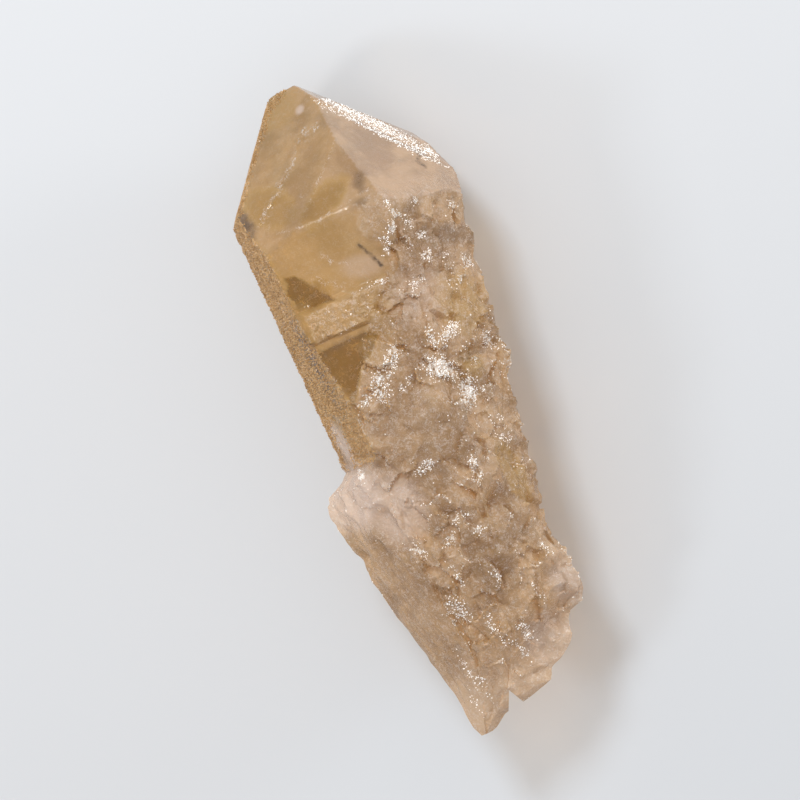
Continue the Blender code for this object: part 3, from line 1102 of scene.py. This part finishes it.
@dataclass(frozen=True)
class Skin:
    """The crystal's surface as the marks see it, with one value for each point.

    Attributes:
        points: The design points.
        normals: Their outward directions.
        u: Their places across the picture plane.
        v: Their places along it.
        wavy_u: The same with a waver, for outlines that look grown.
        wavy_v: Likewise.
        seen: How far they face the eye.
        broken: Coarse noise that breaks marks up.
        speckled: Fine specks.
    """

    points: np.ndarray
    normals: np.ndarray
    u: np.ndarray
    v: np.ndarray
    wavy_u: np.ndarray
    wavy_v: np.ndarray
    seen: np.ndarray
    broken: np.ndarray
    speckled: np.ndarray

    @classmethod
    def of(cls, mesh: bpy.types.Mesh) -> "Skin":
        """Reads the surface of a mesh."""
        coordinates = np.empty(len(mesh.vertices) * 3)
        directions = np.empty(len(mesh.vertices) * 3)
        mesh.vertices.foreach_get("co", coordinates)
        mesh.vertices.foreach_get("normal", directions)
        points, normals = to_design(coordinates.reshape(-1, 3)), directions.reshape(-1, 3)
        u, v = picture_plane(points)
        return cls(
            points=points,
            normals=normals,
            u=u,
            v=v,
            wavy_u=u + 0.9 * rumple(points, 3.0, 42) + 0.5 * rumple(points, 1.2, 46),
            wavy_v=v + 0.9 * rumple(points, 3.0, 43) + 0.5 * rumple(points, 1.2, 47),
            seen=ramp(normals @ TO_EYE, 0.0, 0.2),
            broken=rumple(points, 6.0, 41),
            speckled=ramp(rumple(points, 1.1, 44), -0.35, 0.25),
        )


@dataclass(frozen=True)
class Tree:
    """A node tree with short ways to add and join nodes."""

    tree: bpy.types.NodeTree

    def add(
        self, kind: str, inputs: dict[str | int, object] | None = None, **settings: object
    ) -> bpy.types.Node:
        """Adds a node.

        Args:
            kind: The node's type.
            inputs: What feeds its inputs, by name or number.
            settings: Its properties.

        Returns:
            The node.
        """
        node = self.tree.nodes.new(kind)
        for name, value in settings.items():
            setattr(node, name, value)
        self.feed_all(node, inputs or {})
        return node

    def feed(self, socket: bpy.types.NodeSocket, value: object) -> None:
        """Links an output to a socket, or sets the socket's own value."""
        if isinstance(value, bpy.types.NodeSocket):
            self.tree.links.new(value, socket)
        else:
            socket.default_value = value

    def feed_all(self, node: bpy.types.Node, inputs: dict[str | int, object]) -> None:
        """Feeds several inputs of a node, by name or number."""
        for key, value in inputs.items():
            self.feed(node.inputs[key], value)

    def math(self, operation: str, *values: object) -> bpy.types.NodeSocket:
        """Adds a Math node, clamped to 0 to 1 where its name ends in a dash."""
        node = self.add("ShaderNodeMath", dict(enumerate(values)), operation=operation.rstrip("-"))
        node.use_clamp = operation.endswith("-")
        return node.outputs[0]

    def mix(self, share: object, first: object, second: object) -> bpy.types.NodeSocket:
        """Mixes two colours."""
        node = self.add("ShaderNodeMix", {0: share, 6: first, 7: second}, data_type="RGBA")
        return node.outputs[2]

    def span(
        self, value: object, low: float, high: float, to: tuple[float, float]
    ) -> bpy.types.NodeSocket:
        """Maps low to high onto the two numbers of to, smoothly and clamped."""
        inputs = dict(enumerate((value, low, high, *to)))
        return self.add("ShaderNodeMapRange", inputs, interpolation_type="SMOOTHSTEP").outputs[0]

    def noise(
        self, vector: object, scale: object, detail: float, roughness: float = 0.55, twist: float = 0.0
    ) -> bpy.types.NodeSocket:
        """Adds fractal noise, drawn out into fibres by a twist, and gives its value."""
        inputs = {"Vector": vector, "Scale": scale, "Detail": detail, "Roughness": roughness}
        return self.add("ShaderNodeTexNoise", {**inputs, "Distortion": twist}).outputs["Fac"]

    def bump(self, height: object, strength: float, distance: float) -> bpy.types.NodeSocket:
        """Adds a bump of a distance in millimetres."""
        inputs = {"Strength": strength, "Distance": distance * MM, "Height": height}
        return self.add("ShaderNodeBump", inputs).outputs["Normal"]

    def place(self) -> bpy.types.NodeSocket:
        """Reads the object's own coordinates."""
        return self.add("ShaderNodeTexCoord").outputs["Object"]

    def mark(self, mark: Mark) -> bpy.types.NodeSocket:
        """Reads one of the surface attributes."""
        return self.add("ShaderNodeAttribute", attribute_name=mark.value).outputs["Fac"]


def new_material(name: str) -> tuple[bpy.types.Material, Tree, bpy.types.Node]:
    """Makes a material, and gives it with its tree and its main shader."""
    material = bpy.data.materials.new(name)
    material.use_nodes = True
    return material, Tree(material.node_tree), material.node_tree.nodes["Principled BSDF"]


def new_group(
    name: str, kind: str, inputs: dict[str, tuple[str, object]], outputs: dict[str, str]
) -> bpy.types.NodeTree:
    """Makes an empty node group with named sockets.

    Args:
        name: The group's name.
        kind: The kind of tree.
        inputs: Each input's socket type and value.
        outputs: Each output's socket type.

    Returns:
        The group.
    """
    group = bpy.data.node_groups.new(name, kind)
    for label, (socket_type, value) in inputs.items():
        socket = group.interface.new_socket(label, in_out="INPUT", socket_type=socket_type)
        if value is not None:
            socket.default_value = value
    for label, socket_type in outputs.items():
        group.interface.new_socket(label, in_out="OUTPUT", socket_type=socket_type)
    return group


def grown_grains_group() -> bpy.types.NodeTree:
    """Small pointed grains grown out of a surface, denser where a mark on it is stronger."""
    group = new_group(
        "grown_grains",
        "GeometryNodeTree",
        {
            "Geometry": ("NodeSocketGeometry", None),
            "Mark": ("NodeSocketString", Mark.CRUST.value),
            "Density": ("NodeSocketFloat", 1e6),
            "Smallest": ("NodeSocketFloat", 0.0004),
            "Largest": ("NodeSocketFloat", 0.001),
            "Length": ("NodeSocketFloat", 1.2),
            "Lean": ("NodeSocketFloat", 0.6),
            "Seed": ("NodeSocketInt", 1),
            "Material": ("NodeSocketMaterial", None),
        },
        {"Geometry": "NodeSocketGeometry"},
    )
    corners, tip_radius, foot_radius, sunk_part = 4, 0.14, 0.5, 0.2
    t = Tree(group)
    given = t.add("NodeGroupInput").outputs
    mark = t.add("GeometryNodeInputNamedAttribute", {"Name": given["Mark"]}, data_type="FLOAT")
    spread = t.add(
        "GeometryNodeDistributePointsOnFaces",
        {
            "Mesh": given["Geometry"],
            "Density": t.math("MULTIPLY", mark.outputs[0], given["Density"]),
            "Seed": given["Seed"],
        },
        distribute_method="RANDOM",
    )
    grain = t.add(
        "GeometryNodeMeshCone",
        {
            "Vertices": corners,
            "Radius Top": tip_radius,
            "Radius Bottom": foot_radius,
            "Depth": given["Length"],
        },
        fill_type="NGON",
    )
    sunk = t.add(
        "GeometryNodeTransform",
        {"Geometry": grain.outputs["Mesh"], "Translation": (0.0, 0.0, -sunk_part)},
    )
    widest = t.add("ShaderNodeCombineXYZ", {0: given["Lean"], 1: given["Lean"], 2: math.pi})
    least = t.add("ShaderNodeVectorMath", {0: widest.outputs[0], "Scale": -1.0}, operation="SCALE")
    tilt = t.add(
        "FunctionNodeRandomValue",
        {0: least.outputs[0], 1: widest.outputs[0], "Seed": t.math("ADD", given["Seed"], 5.0)},
        data_type="FLOAT_VECTOR",
    )
    turned = t.add("FunctionNodeEulerToRotation", {0: tilt.outputs[0]})
    stand = t.add(
        "FunctionNodeRotateRotation",
        {0: spread.outputs["Rotation"], 1: turned.outputs[0]},
        rotation_space="LOCAL",
    )
    size = t.add(
        "FunctionNodeRandomValue",
        {2: given["Smallest"], 3: given["Largest"], "Seed": t.math("ADD", given["Seed"], 9.0)},
        data_type="FLOAT",
    )
    placed = t.add(
        "GeometryNodeInstanceOnPoints",
        {
            "Points": spread.outputs["Points"],
            "Instance": sunk.outputs[0],
            "Rotation": stand.outputs[0],
            "Scale": size.outputs[1],
        },
    )
    real = t.add("GeometryNodeRealizeInstances", {0: placed.outputs[0]})
    painted = t.add(
        "GeometryNodeSetMaterial", {"Geometry": real.outputs[0], "Material": given["Material"]}
    )
    t.add("NodeGroupOutput", {"Geometry": painted.outputs[0]})
    return group


def etch_grain_group() -> bpy.types.NodeTree:
    """The fine grain of etched quartz: a height for bump, and the share that glitters white."""
    group = new_group(
        "etch_grain",
        "ShaderNodeTree",
        {
            "Vector": ("NodeSocketVector", None),
            "Scale": ("NodeSocketFloat", 900.0),
            "Etching": ("NodeSocketFloat", 0.5),
            "Frost": ("NodeSocketFloat", 0.0),
        },
        {"Height": "NodeSocketFloat", "Glitter": "NodeSocketFloat"},
    )
    t = Tree(group)
    given = t.add("NodeGroupInput").outputs
    vector, scale = given["Vector"], given["Scale"]
    cells = t.add("ShaderNodeTexVoronoi", {"Vector": vector, "Scale": scale}, feature="F1")
    grain = t.noise(vector, t.math("MULTIPLY", scale, 1.2), 4.0, 0.65, 1.6)
    height = t.math("MULTIPLY_ADD", cells.outputs["Distance"], 0.55, grain)
    speckle = t.span(grain, 0.47, 0.6, (0.0, 1.0))
    patchy = t.span(t.noise(vector, t.math("MULTIPLY", scale, 0.5), 3.0), 0.36, 0.62, (0.25, 1.0))
    glitter = t.math("MULTIPLY", t.math("MULTIPLY", speckle, patchy), given["Frost"])
    t.add(
        "NodeGroupOutput",
        {"Height": t.math("MULTIPLY", height, given["Etching"]), "Glitter": glitter},
    )
    return group


@dataclass(frozen=True)
class QuartzFinish:
    """Golden quartz, clear on its sound faces and frosted where it is etched.

    Attributes:
        name: The material's name.
        hazy: The quartz where it is lightest.
        smoky: The clouds in it.
        honey: A light gold, where it is a little golden.
        golden: A deep gold, where it is fully golden.
        pale: The milky places.
        frost: The white of the etch frost, also painted as glints and as a highlight.
        dark: The inclusions, and the painted shade.
        transmission: The share of light that passes in.
        ior: Quartz's index of refraction.
        body_colour: The colour that its depth takes on.
        body_density: How fast it does.
        lamp_colour: What the lamps' light turns into on its way through.
        lamp_share: How much of it comes through.
        cloud_scale: How small the clouds are.
        grain_scale: How fine the etch grain is.
        polish: The roughness of a sound face.
        bump: Strength, and distance in millimetres, of the etch grain.
    """

    name: str = "citrine_quartz"
    hazy: Colour = (0.57, 0.385, 0.20, 1.0)
    smoky: Colour = (0.26, 0.15, 0.055, 1.0)
    honey: Colour = (0.62, 0.405, 0.14, 1.0)
    golden: Colour = (0.22, 0.115, 0.012, 1.0)
    pale: Colour = (0.78, 0.64, 0.53, 1.0)
    frost: Colour = (1.0, 0.99, 0.97, 1.0)
    dark: Colour = (0.09, 0.06, 0.03, 1.0)
    transmission: float = 0.5
    ior: float = QUARTZ_IOR
    body_colour: Colour = (0.87, 0.70, 0.40, 1.0)
    body_density: float = 28.0
    lamp_colour: Colour = (0.86, 0.74, 0.58, 1.0)
    lamp_share: float = 0.75
    cloud_scale: float = 70.0
    grain_scale: float = 1100.0
    polish: float = 0.07
    bump: tuple[float, float] = (0.65, 0.4)

    def make(self, grain: bpy.types.NodeTree) -> bpy.types.Material:
        """Makes the material.

        Args:
            grain: The group for etched grain.

        Returns:
            The material.
        """
        material, t, shader = new_material(self.name)
        place = t.place()
        etched, frost = t.mark(Mark.ETCHED), t.mark(Mark.FROST)
        golden, pale = t.mark(Mark.GOLDEN), t.mark(Mark.PALE)
        etch = t.add(
            "ShaderNodeGroup",
            {
                "Vector": place,
                "Scale": self.grain_scale,
                "Etching": t.math("MULTIPLY_ADD", etched, 0.8, 0.2),
                "Frost": t.math("MAXIMUM", frost, t.math("MULTIPLY_ADD", etched, 0.26, 0.08)),
            },
            node_tree=grain,
        ).outputs
        cloud = t.span(t.noise(place, self.cloud_scale, 6.0, 0.62, 0.3), 0.38, 0.62, (0.0, 1.0))
        colour = t.mix(t.math("MULTIPLY", cloud, 0.75), self.hazy, self.smoky)
        colour = t.mix(t.math("MULTIPLY-", golden, 3.0), colour, self.honey)
        colour = t.mix(golden, colour, self.golden)
        colour = t.mix(pale, colour, self.pale)
        # Dark inclusions, and painted shade in cracks, below a growth step and under the ledge.
        colour = t.mix(t.mark(Mark.DARK), colour, self.dark)
        # Frost white, which also paints glints on sharp rims and streaks and a highlight on the bright
        # band.
        colour = t.mix(etch["Glitter"], colour, self.frost)
        rough = t.math("MULTIPLY_ADD", etched, 0.06, self.polish)
        rough = t.math("ADD", rough, t.math("MULTIPLY", frost, 0.25))
        rough = t.math("ADD", rough, t.math("MULTIPLY", t.mark(Mark.CRUST), 0.45))
        rough = t.math("SUBTRACT-", rough, t.math("MULTIPLY", golden, 0.05))
        t.feed_all(
            shader,
            {
                "Base Color": colour,
                "Roughness": rough,
                "Normal": t.bump(etch["Height"], *self.bump),
                "Metallic": 0.0,
                "IOR": self.ior,
                "Transmission Weight": self.transmission,
            },
        )
        clear = t.add("ShaderNodeBsdfTransparent", {"Color": self.lamp_colour}).outputs[0]
        lamps = t.add("ShaderNodeLightPath").outputs["Is Shadow Ray"]
        share = t.math("MULTIPLY", lamps, self.lamp_share)
        surface = t.add("ShaderNodeMixShader", {0: share, 1: shader.outputs[0], 2: clear})
        body = t.add(
            "ShaderNodeVolumeAbsorption", {"Color": self.body_colour, "Density": self.body_density}
        )
        out = t.tree.nodes["Material Output"]
        t.feed_all(out, {"Surface": surface.outputs[0], "Volume": body.outputs[0]})
        return material


@dataclass(frozen=True)
class PlainFinish:
    """A matt, faintly mottled finish for the floor."""

    name: str
    colour: Colour
    roughness: float

    def make(self) -> bpy.types.Material:
        """Makes the material."""
        material, t, shader = new_material(self.name)
        darker = tuple(0.96 * part for part in self.colour[:3]) + (1.0,)
        mottled = t.mix(t.noise(t.place(), 3.0, 2.0), self.colour, darker)
        t.feed_all(shader, {"Base Color": mottled, "Roughness": self.roughness})
        return material


@dataclass(frozen=True)
class GrainFinish:
    """Fine quartz grains, some paler than others.

    Attributes:
        name: The material's name.
        light: The paler colour.
        deep: The deeper colour.
        roughness: The roughness where nothing glitters.
        cloud_scale: How small the patches of one colour are.
        grain_scale: How fine the etch grain is.
        bump: Strength, and distance in millimetres, of the etch grain.
    """

    name: str
    light: Colour
    deep: Colour
    roughness: float
    cloud_scale: float = 420.0
    grain_scale: float = 1500.0
    bump: tuple[float, float] = (0.5, 0.2)

    def make(self, grain: bpy.types.NodeTree) -> bpy.types.Material:
        """Makes the material.

        Args:
            grain: The group for etched grain.

        Returns:
            The material.
        """
        material, t, shader = new_material(self.name)
        place = t.place()
        etch = t.add(
            "ShaderNodeGroup",
            {"Vector": place, "Scale": self.grain_scale, "Etching": 0.6, "Frost": 0.8},
            node_tree=grain,
        ).outputs
        cloud = t.span(t.noise(place, self.cloud_scale, 3.0), 0.34, 0.66, (0.0, 1.0))
        colour = t.mix(cloud, self.light, self.deep)
        t.feed_all(
            shader,
            {
                "Base Color": t.mix(etch["Glitter"], colour, self.light),
                "Roughness": t.math("MULTIPLY_ADD", etch["Glitter"], 0.2, self.roughness),
                "Normal": t.bump(etch["Height"], *self.bump),
                "Metallic": 0.0,
                "IOR": QUARTZ_IOR,
            },
        )
        return material


@dataclass
class GrownGrains:
    """Small grains grown on the crystal where it carries a mark.

    Attributes:
        name: The piece's name.
        mark: The mark that they follow.
        density: Grains on a square metre where the mark is full.
        size: The smallest and largest grain, in millimetres.
        length: A grain's length, as a share of its width.
        lean: The most that a grain leans, in radians.
        seed: Which scatter.
        finish: Their finish.
    """

    name: str
    mark: Mark
    density: float
    size: tuple[float, float]
    length: float
    lean: float
    seed: int
    finish: GrainFinish

    def build(
        self, crystal: bpy.types.Object, tree: bpy.types.NodeTree, grain: bpy.types.NodeTree
    ) -> bpy.types.Object:
        """Grows the grains.

        Args:
            crystal: What they grow on.
            tree: The geometry nodes that grow them.
            grain: The group for etched grain.

        Returns:
            The grains as one mesh.
        """
        piece = bpy.data.objects.new(self.name, crystal.data.copy())
        bpy.context.scene.collection.objects.link(piece)
        grow = piece.modifiers.new("grow", "NODES")
        grow.node_group = tree
        values = {
            "Mark": self.mark.value,
            "Density": self.density,
            "Smallest": self.size[0] * MM,
            "Largest": self.size[1] * MM,
            "Length": self.length,
            "Lean": self.lean,
            "Seed": self.seed,
            "Material": self.finish.make(grain),
        }
        for item in tree.interface.items_tree:
            if item.item_type == "SOCKET" and item.in_out == "INPUT" and item.name in values:
                grow[item.identifier] = values[item.name]
        plain_mesh(piece)
        piece.data.shade_flat()
        return piece

    def dress(self, piece: bpy.types.Object) -> None:
        """Ties the grains to the frame."""
        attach(piece, BODY)


@dataclass
class Crystal:
    """The crystal itself.

    Attributes:
        name: The piece's name.
        sharp_from: Edges that turn more than this stay sharp.
        form: Its mesh.
        finish: Its finish.
    """

    name: str = "crystal_body"
    sharp_from: float = math.radians(27.0)
    form: CrystalMesh = field(default_factory=CrystalMesh)
    finish: QuartzFinish = field(default_factory=QuartzFinish)

    def build(self) -> bpy.types.Object:
        """Builds the mesh and marks its surface.

        Returns:
            The crystal.
        """
        crystal = self.form.build(self.name)
        mesh = crystal.data
        mesh.shade_smooth()
        mesh.set_sharp_from_angle(angle=self.sharp_from)
        self.mark_surface(mesh)
        return crystal

    def crust(self, at: Skin) -> np.ndarray:
        """Where the left side and its rim carry a crust of grains."""
        crust = (at.v > BULGE_TOP) * ramp(at.normals @ LEFT_OUTWARD, 0.75, 0.95)
        crust *= 0.65 + 0.35 * rumple(at.points, 2.4, 45)
        crust *= 1.0 - 0.45 * strip_mark(at.u, at.v, THIN_CRUST, 1.6)
        crust *= 1.0 - strip_mark(at.u, at.v, BARE_CRUST, 2.2)
        return np.maximum(crust, strip_mark(at.u, at.v, LEFT_RIM, 1.5))

    def roughened(self, at: Skin) -> np.ndarray:
        """Where the front face is rough between two growth steps and on the hump."""
        band = outlined(at.u, at.v, ROUGH_BAND, 0.8)
        return np.maximum(band, 0.9 * spotted(at.u, at.v, (HUMP,), 0.2)) * at.seen

    def etching(self, at: Skin, rough: np.ndarray, crust: np.ndarray) -> np.ndarray:
        """How matt the surface is.

        Args:
            at: The surface.
            rough: Its rough part.
            crust: Its crust.

        Returns:
            0 where it is glossy, 1 where it is fully etched.
        """
        x, y, z = at.points.T
        etched = np.maximum(ramp(-y, 84.0, 100.0), ramp(x - keyed(ETCHED_FROM, y), *ETCH_BORDER))
        etched = np.where(z > -PRISM_HALF + 0.05, etched, 0.1)
        etched *= 1.0 - ramp(y, ETCHED_END, ETCHED_END + 6.0)
        return np.maximum.reduce((etched, 0.8 * rough, 0.9 * crust))

    def whitened(
        self, at: Skin, rim_glints: np.ndarray, etched: np.ndarray, rough: np.ndarray
    ) -> tuple[np.ndarray, np.ndarray]:
        """Where the surface is white, from etch frost and from painted glints and highlights.

        Args:
            at: The surface.
            rim_glints: The sharp ridges of its relief, where white glints are painted.
            etched: How matt it is.
            rough: Its rough part.

        Returns:
            How white it is, and how densely it carries flakes.
        """
        bright = spotted(at.wavy_u, at.wavy_v, FROST_SPOTS, 0.6) * at.seen
        # The bright band's white is partly frost and partly a painted highlight.
        bright = np.maximum(bright, 0.75 * strip_mark(at.u, at.v, FROST_AND_HIGHLIGHT_BAND, 2.6) * at.seen)
        flakes = np.maximum(bright * (0.3 + 0.7 * at.speckled), 0.3 * rim_glints * at.speckled)
        # White specks along the streaks: painted glints.
        streak = strip_mark(at.wavy_u, at.wavy_v, STREAK_LINE, 1.0) * at.seen
        veils = spotted(at.wavy_u, at.wavy_v, VEIL_SPOTS, 0.6) * at.speckled * at.seen
        dusted = 0.5 * etched * at.speckled * ramp(at.broken, 0.0, 0.6)
        layers = (flakes, 0.9 * streak * at.speckled, veils, 0.8 * rim_glints, dusted)
        return np.maximum.reduce((*layers, 0.35 * rough * at.speckled)), flakes

    def darkened(self, at: Skin) -> np.ndarray:
        """Where dark inclusions show, and where shade is painted in cracks, below a growth step and
        under the ledge.
        """
        dark = spotted(at.wavy_u, at.wavy_v, DARK_AND_SHADE_SPOTS, 0.6) * at.seen
        for line in DARK_AND_SHADE_LINES:
            streak = strip_mark(at.u, at.v, line, 0.7) * (0.3 + 0.7 * at.speckled) * at.seen
            dark = np.maximum(dark, streak)
        return dark

    def tones(self, at: Skin) -> tuple[np.ndarray, np.ndarray]:
        """How golden and how pale the surface is."""
        golden = spotted(at.wavy_u, at.wavy_v, GOLDEN_SPOTS, 0.45)
        pale = np.maximum(spotted(at.u, at.v, PALE_SPOTS, 0.45), 0.3 * ramp(-at.v, 150.0, 168.0))
        within = face_distances(at.points)
        on_face = within.min(axis=1) < 0.6
        tones = np.array(list(FACE_TONES.values()))[within.argmin(axis=1)]
        golden = np.maximum(golden * np.where(on_face, 0.7, 1.0), on_face * tones[:, 0])
        return golden, np.maximum(pale, on_face * tones[:, 1])

    def mark_surface(self, mesh: bpy.types.Mesh) -> None:
        """Writes where the surface is frosted, golden, pale, etched or crusted, and where glints,
        highlights and shade are painted.
        """
        at = Skin.of(mesh)
        crust = self.crust(at)
        rough = self.roughened(at)
        etched = self.etching(at, rough, crust)
        # White painted along the sharp convex ridges of the etched relief: painted glints.
        rim_glints = ramp(convexity(mesh, at.points, at.normals), 0.1, 0.24)
        rim_glints *= etched * ramp(at.broken, -0.25, 0.3) * (1.0 - crust)
        frost, flakes = self.whitened(at, rim_glints, etched, rough)
        dark = self.darkened(at)
        golden, pale = self.tones(at)
        for outline in WINDOWS:
            window = outlined(at.wavy_u, 0.6 * at.v + 0.4 * at.wavy_v, outline, 1.0) * at.seen
            window *= 0.75 + 0.25 * ramp(at.broken, -0.5, 0.2)
            golden = np.maximum(golden, window)
            frost *= 1.0 - 0.8 * window
            flakes *= 1.0 - window
            etched *= 1.0 - 0.8 * window
        faint = 0.25 + 0.5 * ramp(rumple(at.points, 4.0, 48), -0.2, 0.5)
        for line in EDGE_LINES:
            frost = np.maximum(frost, faint * strip_mark(at.u, at.v, line, 0.6) * at.seen)
        marks = {
            Mark.FROST: frost,
            Mark.FLAKES: flakes,
            Mark.GOLDEN: golden,
            Mark.PALE: pale * (1.0 - golden),
            Mark.ETCHED: etched,
            Mark.CRUST: crust,
            Mark.DARK: dark,
        }
        for mark, values in marks.items():
            set_mark(mesh, mark, values)

    def dress(self, crystal: bpy.types.Object, grain: bpy.types.NodeTree) -> None:
        """Gives the crystal its finish and ties it to the frame."""
        crystal.data.materials.clear()
        crystal.data.materials.append(self.finish.make(grain))
        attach(crystal, BODY)
        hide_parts(CAD_NODE)


GRAINS = (
    GrownGrains(
        name="edge_druse",
        mark=Mark.CRUST,
        density=5.5e6,
        size=(0.35, 0.85),
        length=0.6,
        lean=0.5,
        seed=3,
        finish=GrainFinish("druse_grains", (0.46, 0.28, 0.12, 1.0), (0.30, 0.16, 0.055, 1.0), 0.3),
    ),
    # White flakes on the etch frost, and along sharp rims and the bright band, where they are painted
    # glints and highlights.
    GrownGrains(
        name="frost_and_glint_flakes",
        mark=Mark.FLAKES,
        density=9.0e6,
        size=(0.2, 0.6),
        length=0.4,
        lean=0.6,
        seed=4,
        finish=GrainFinish("white_frost_and_glints", (1.0, 1.0, 0.99, 1.0), (0.96, 0.93, 0.89, 1.0), 0.15),
    ),
)


@dataclass(frozen=True)
class Lamp:
    """A square lamp that faces the crystal.

    Attributes:
        name: Its name.
        place: How far it stands to the eye's side, to the picture's right, and up.
        size: Its width and height.
        power: Its power in watts.
    """

    name: str
    place: tuple[float, float, float]
    size: float
    power: float


@dataclass
class Studio:
    """The floor, the soft light and the camera, in metres.

    Attributes:
        distance: From the camera to the crystal.
        sensor: The camera's sensor width, in millimetres.
        clip: The nearest and the farthest that the camera sees.
        floor_half: Half the floor's width.
        floor_gap: How far the floor lies under the crystal, so that the two never touch.
        floor: The floor's finish.
        sky: The colour of the light from all sides.
        sky_strength: How strong that light is.
        lamps: The lamps.
    """

    distance: float = 1.5
    sensor: float = 36.0
    clip: tuple[float, float] = (0.05, 50.0)
    floor_half: float = 4.0
    floor_gap: float = 0.3 * MM
    floor: PlainFinish = PlainFinish("pale_floor", (0.545, 0.55, 0.56, 1.0), 0.7)
    sky: Colour = (0.93, 0.96, 1.0, 1.0)
    sky_strength: float = 0.7
    lamps: tuple[Lamp, ...] = (
        Lamp("key", (0.85, -0.45, 0.6), 0.3, 9.0),
        Lamp("side", (0.35, 0.8, 0.35), 0.3, 5.0),
        Lamp("low", (0.5, -0.8, -0.4), 0.2, 2.5),
    )

    def axes(self) -> tuple[Vector, Vector, Vector]:
        """The picture's right, its up, and the direction from the crystal to the eye."""
        toward = Vector((math.sin(VIEW_TURN), 0.0, math.cos(VIEW_TURN)))
        across = Vector((math.cos(VIEW_TURN), 0.0, -math.sin(VIEW_TURN)))
        along = Vector((0.0, 1.0, 0.0))
        right = across * math.cos(VIEW_ROLL) - along * math.sin(VIEW_ROLL)
        up = across * math.sin(VIEW_ROLL) + along * math.cos(VIEW_ROLL)
        return right, up, toward

    def target(self) -> Vector:
        """The point of the part that lies at the middle of the picture."""
        middle_u, middle_v = PICTURE_MIDDLE
        x = middle_u * math.cos(VIEW_TURN)
        z = -middle_u * math.sin(VIEW_TURN)
        return Vector(to_part(np.array([x, middle_v, z])))

    def add_camera(self) -> None:
        """Adds the camera at the picture's angle."""
        right, up, toward = self.axes()
        data = bpy.data.cameras.new("camera")
        data.sensor_width = self.sensor
        data.lens = data.sensor_width * self.distance / (PICTURE_SIZE * PICTURE_SCALE * MM)
        data.clip_start, data.clip_end = self.clip
        camera = bpy.data.objects.new("camera", data)
        placed = Matrix((right, up, toward)).transposed().to_4x4()
        placed.translation = self.target() + toward * self.distance
        camera.matrix_world = placed
        bpy.context.scene.collection.objects.link(camera)
        bpy.context.scene.camera = camera

    def add_lamp(self, lamp: Lamp) -> None:
        """Adds a lamp that faces the crystal."""
        right, up, toward = self.axes()
        to_eye, to_right, upward = lamp.place
        offset = toward * to_eye + right * to_right + up * upward
        data = bpy.data.lights.new(lamp.name, "AREA")
        data.shape = "SQUARE"
        data.size = lamp.size
        data.energy = lamp.power
        obj = bpy.data.objects.new(lamp.name, data)
        facing = offset.to_track_quat("Z", "Y").to_matrix().to_4x4()
        obj.matrix_world = Matrix.Translation(self.target() + offset) @ facing
        bpy.context.scene.collection.objects.link(obj)

    def add_floor(self) -> None:
        """Adds the floor."""
        bm = bmesh.new()
        bmesh.ops.create_grid(bm, x_segments=1, y_segments=1, size=self.floor_half)
        floor = object_from("floor", bm)
        floor.data.transform(Matrix.Translation((0.0, 0.0, -self.floor_gap)))
        floor.data.materials.append(self.floor.make())

    def build(self) -> None:
        """Adds floor, light and camera."""
        self.add_floor()
        for lamp in self.lamps:
            self.add_lamp(lamp)
        world = bpy.data.worlds.new("soft_sky")
        world.use_nodes = True
        background = world.node_tree.nodes["Background"]
        background.inputs["Color"].default_value = self.sky
        background.inputs["Strength"].default_value = self.sky_strength
        bpy.context.scene.world = world
        bpy.context.scene.view_settings.view_transform = "Standard"
        self.add_camera()


def report_piece(piece: bpy.types.Object) -> None:
    """Logs a piece's size in triangles."""
    piece.data.calc_loop_triangles()
    LOG.info("%s: %d triangles", piece.name, len(piece.data.loop_triangles))


def main() -> None:
    """Builds and dresses the crystal, then sets it in the studio."""
    logging.basicConfig(level=logging.INFO, format="%(name)s: %(message)s")
    grain = etch_grain_group()
    crystal = Crystal()
    body = crystal.build()
    crystal.dress(body, grain)
    report_piece(body)
    growth = grown_grains_group()
    for grains in GRAINS:
        piece = grains.build(body, growth, grain)
        grains.dress(piece)
        report_piece(piece)
    Studio().build()


if __name__ == "__main__":
    main()
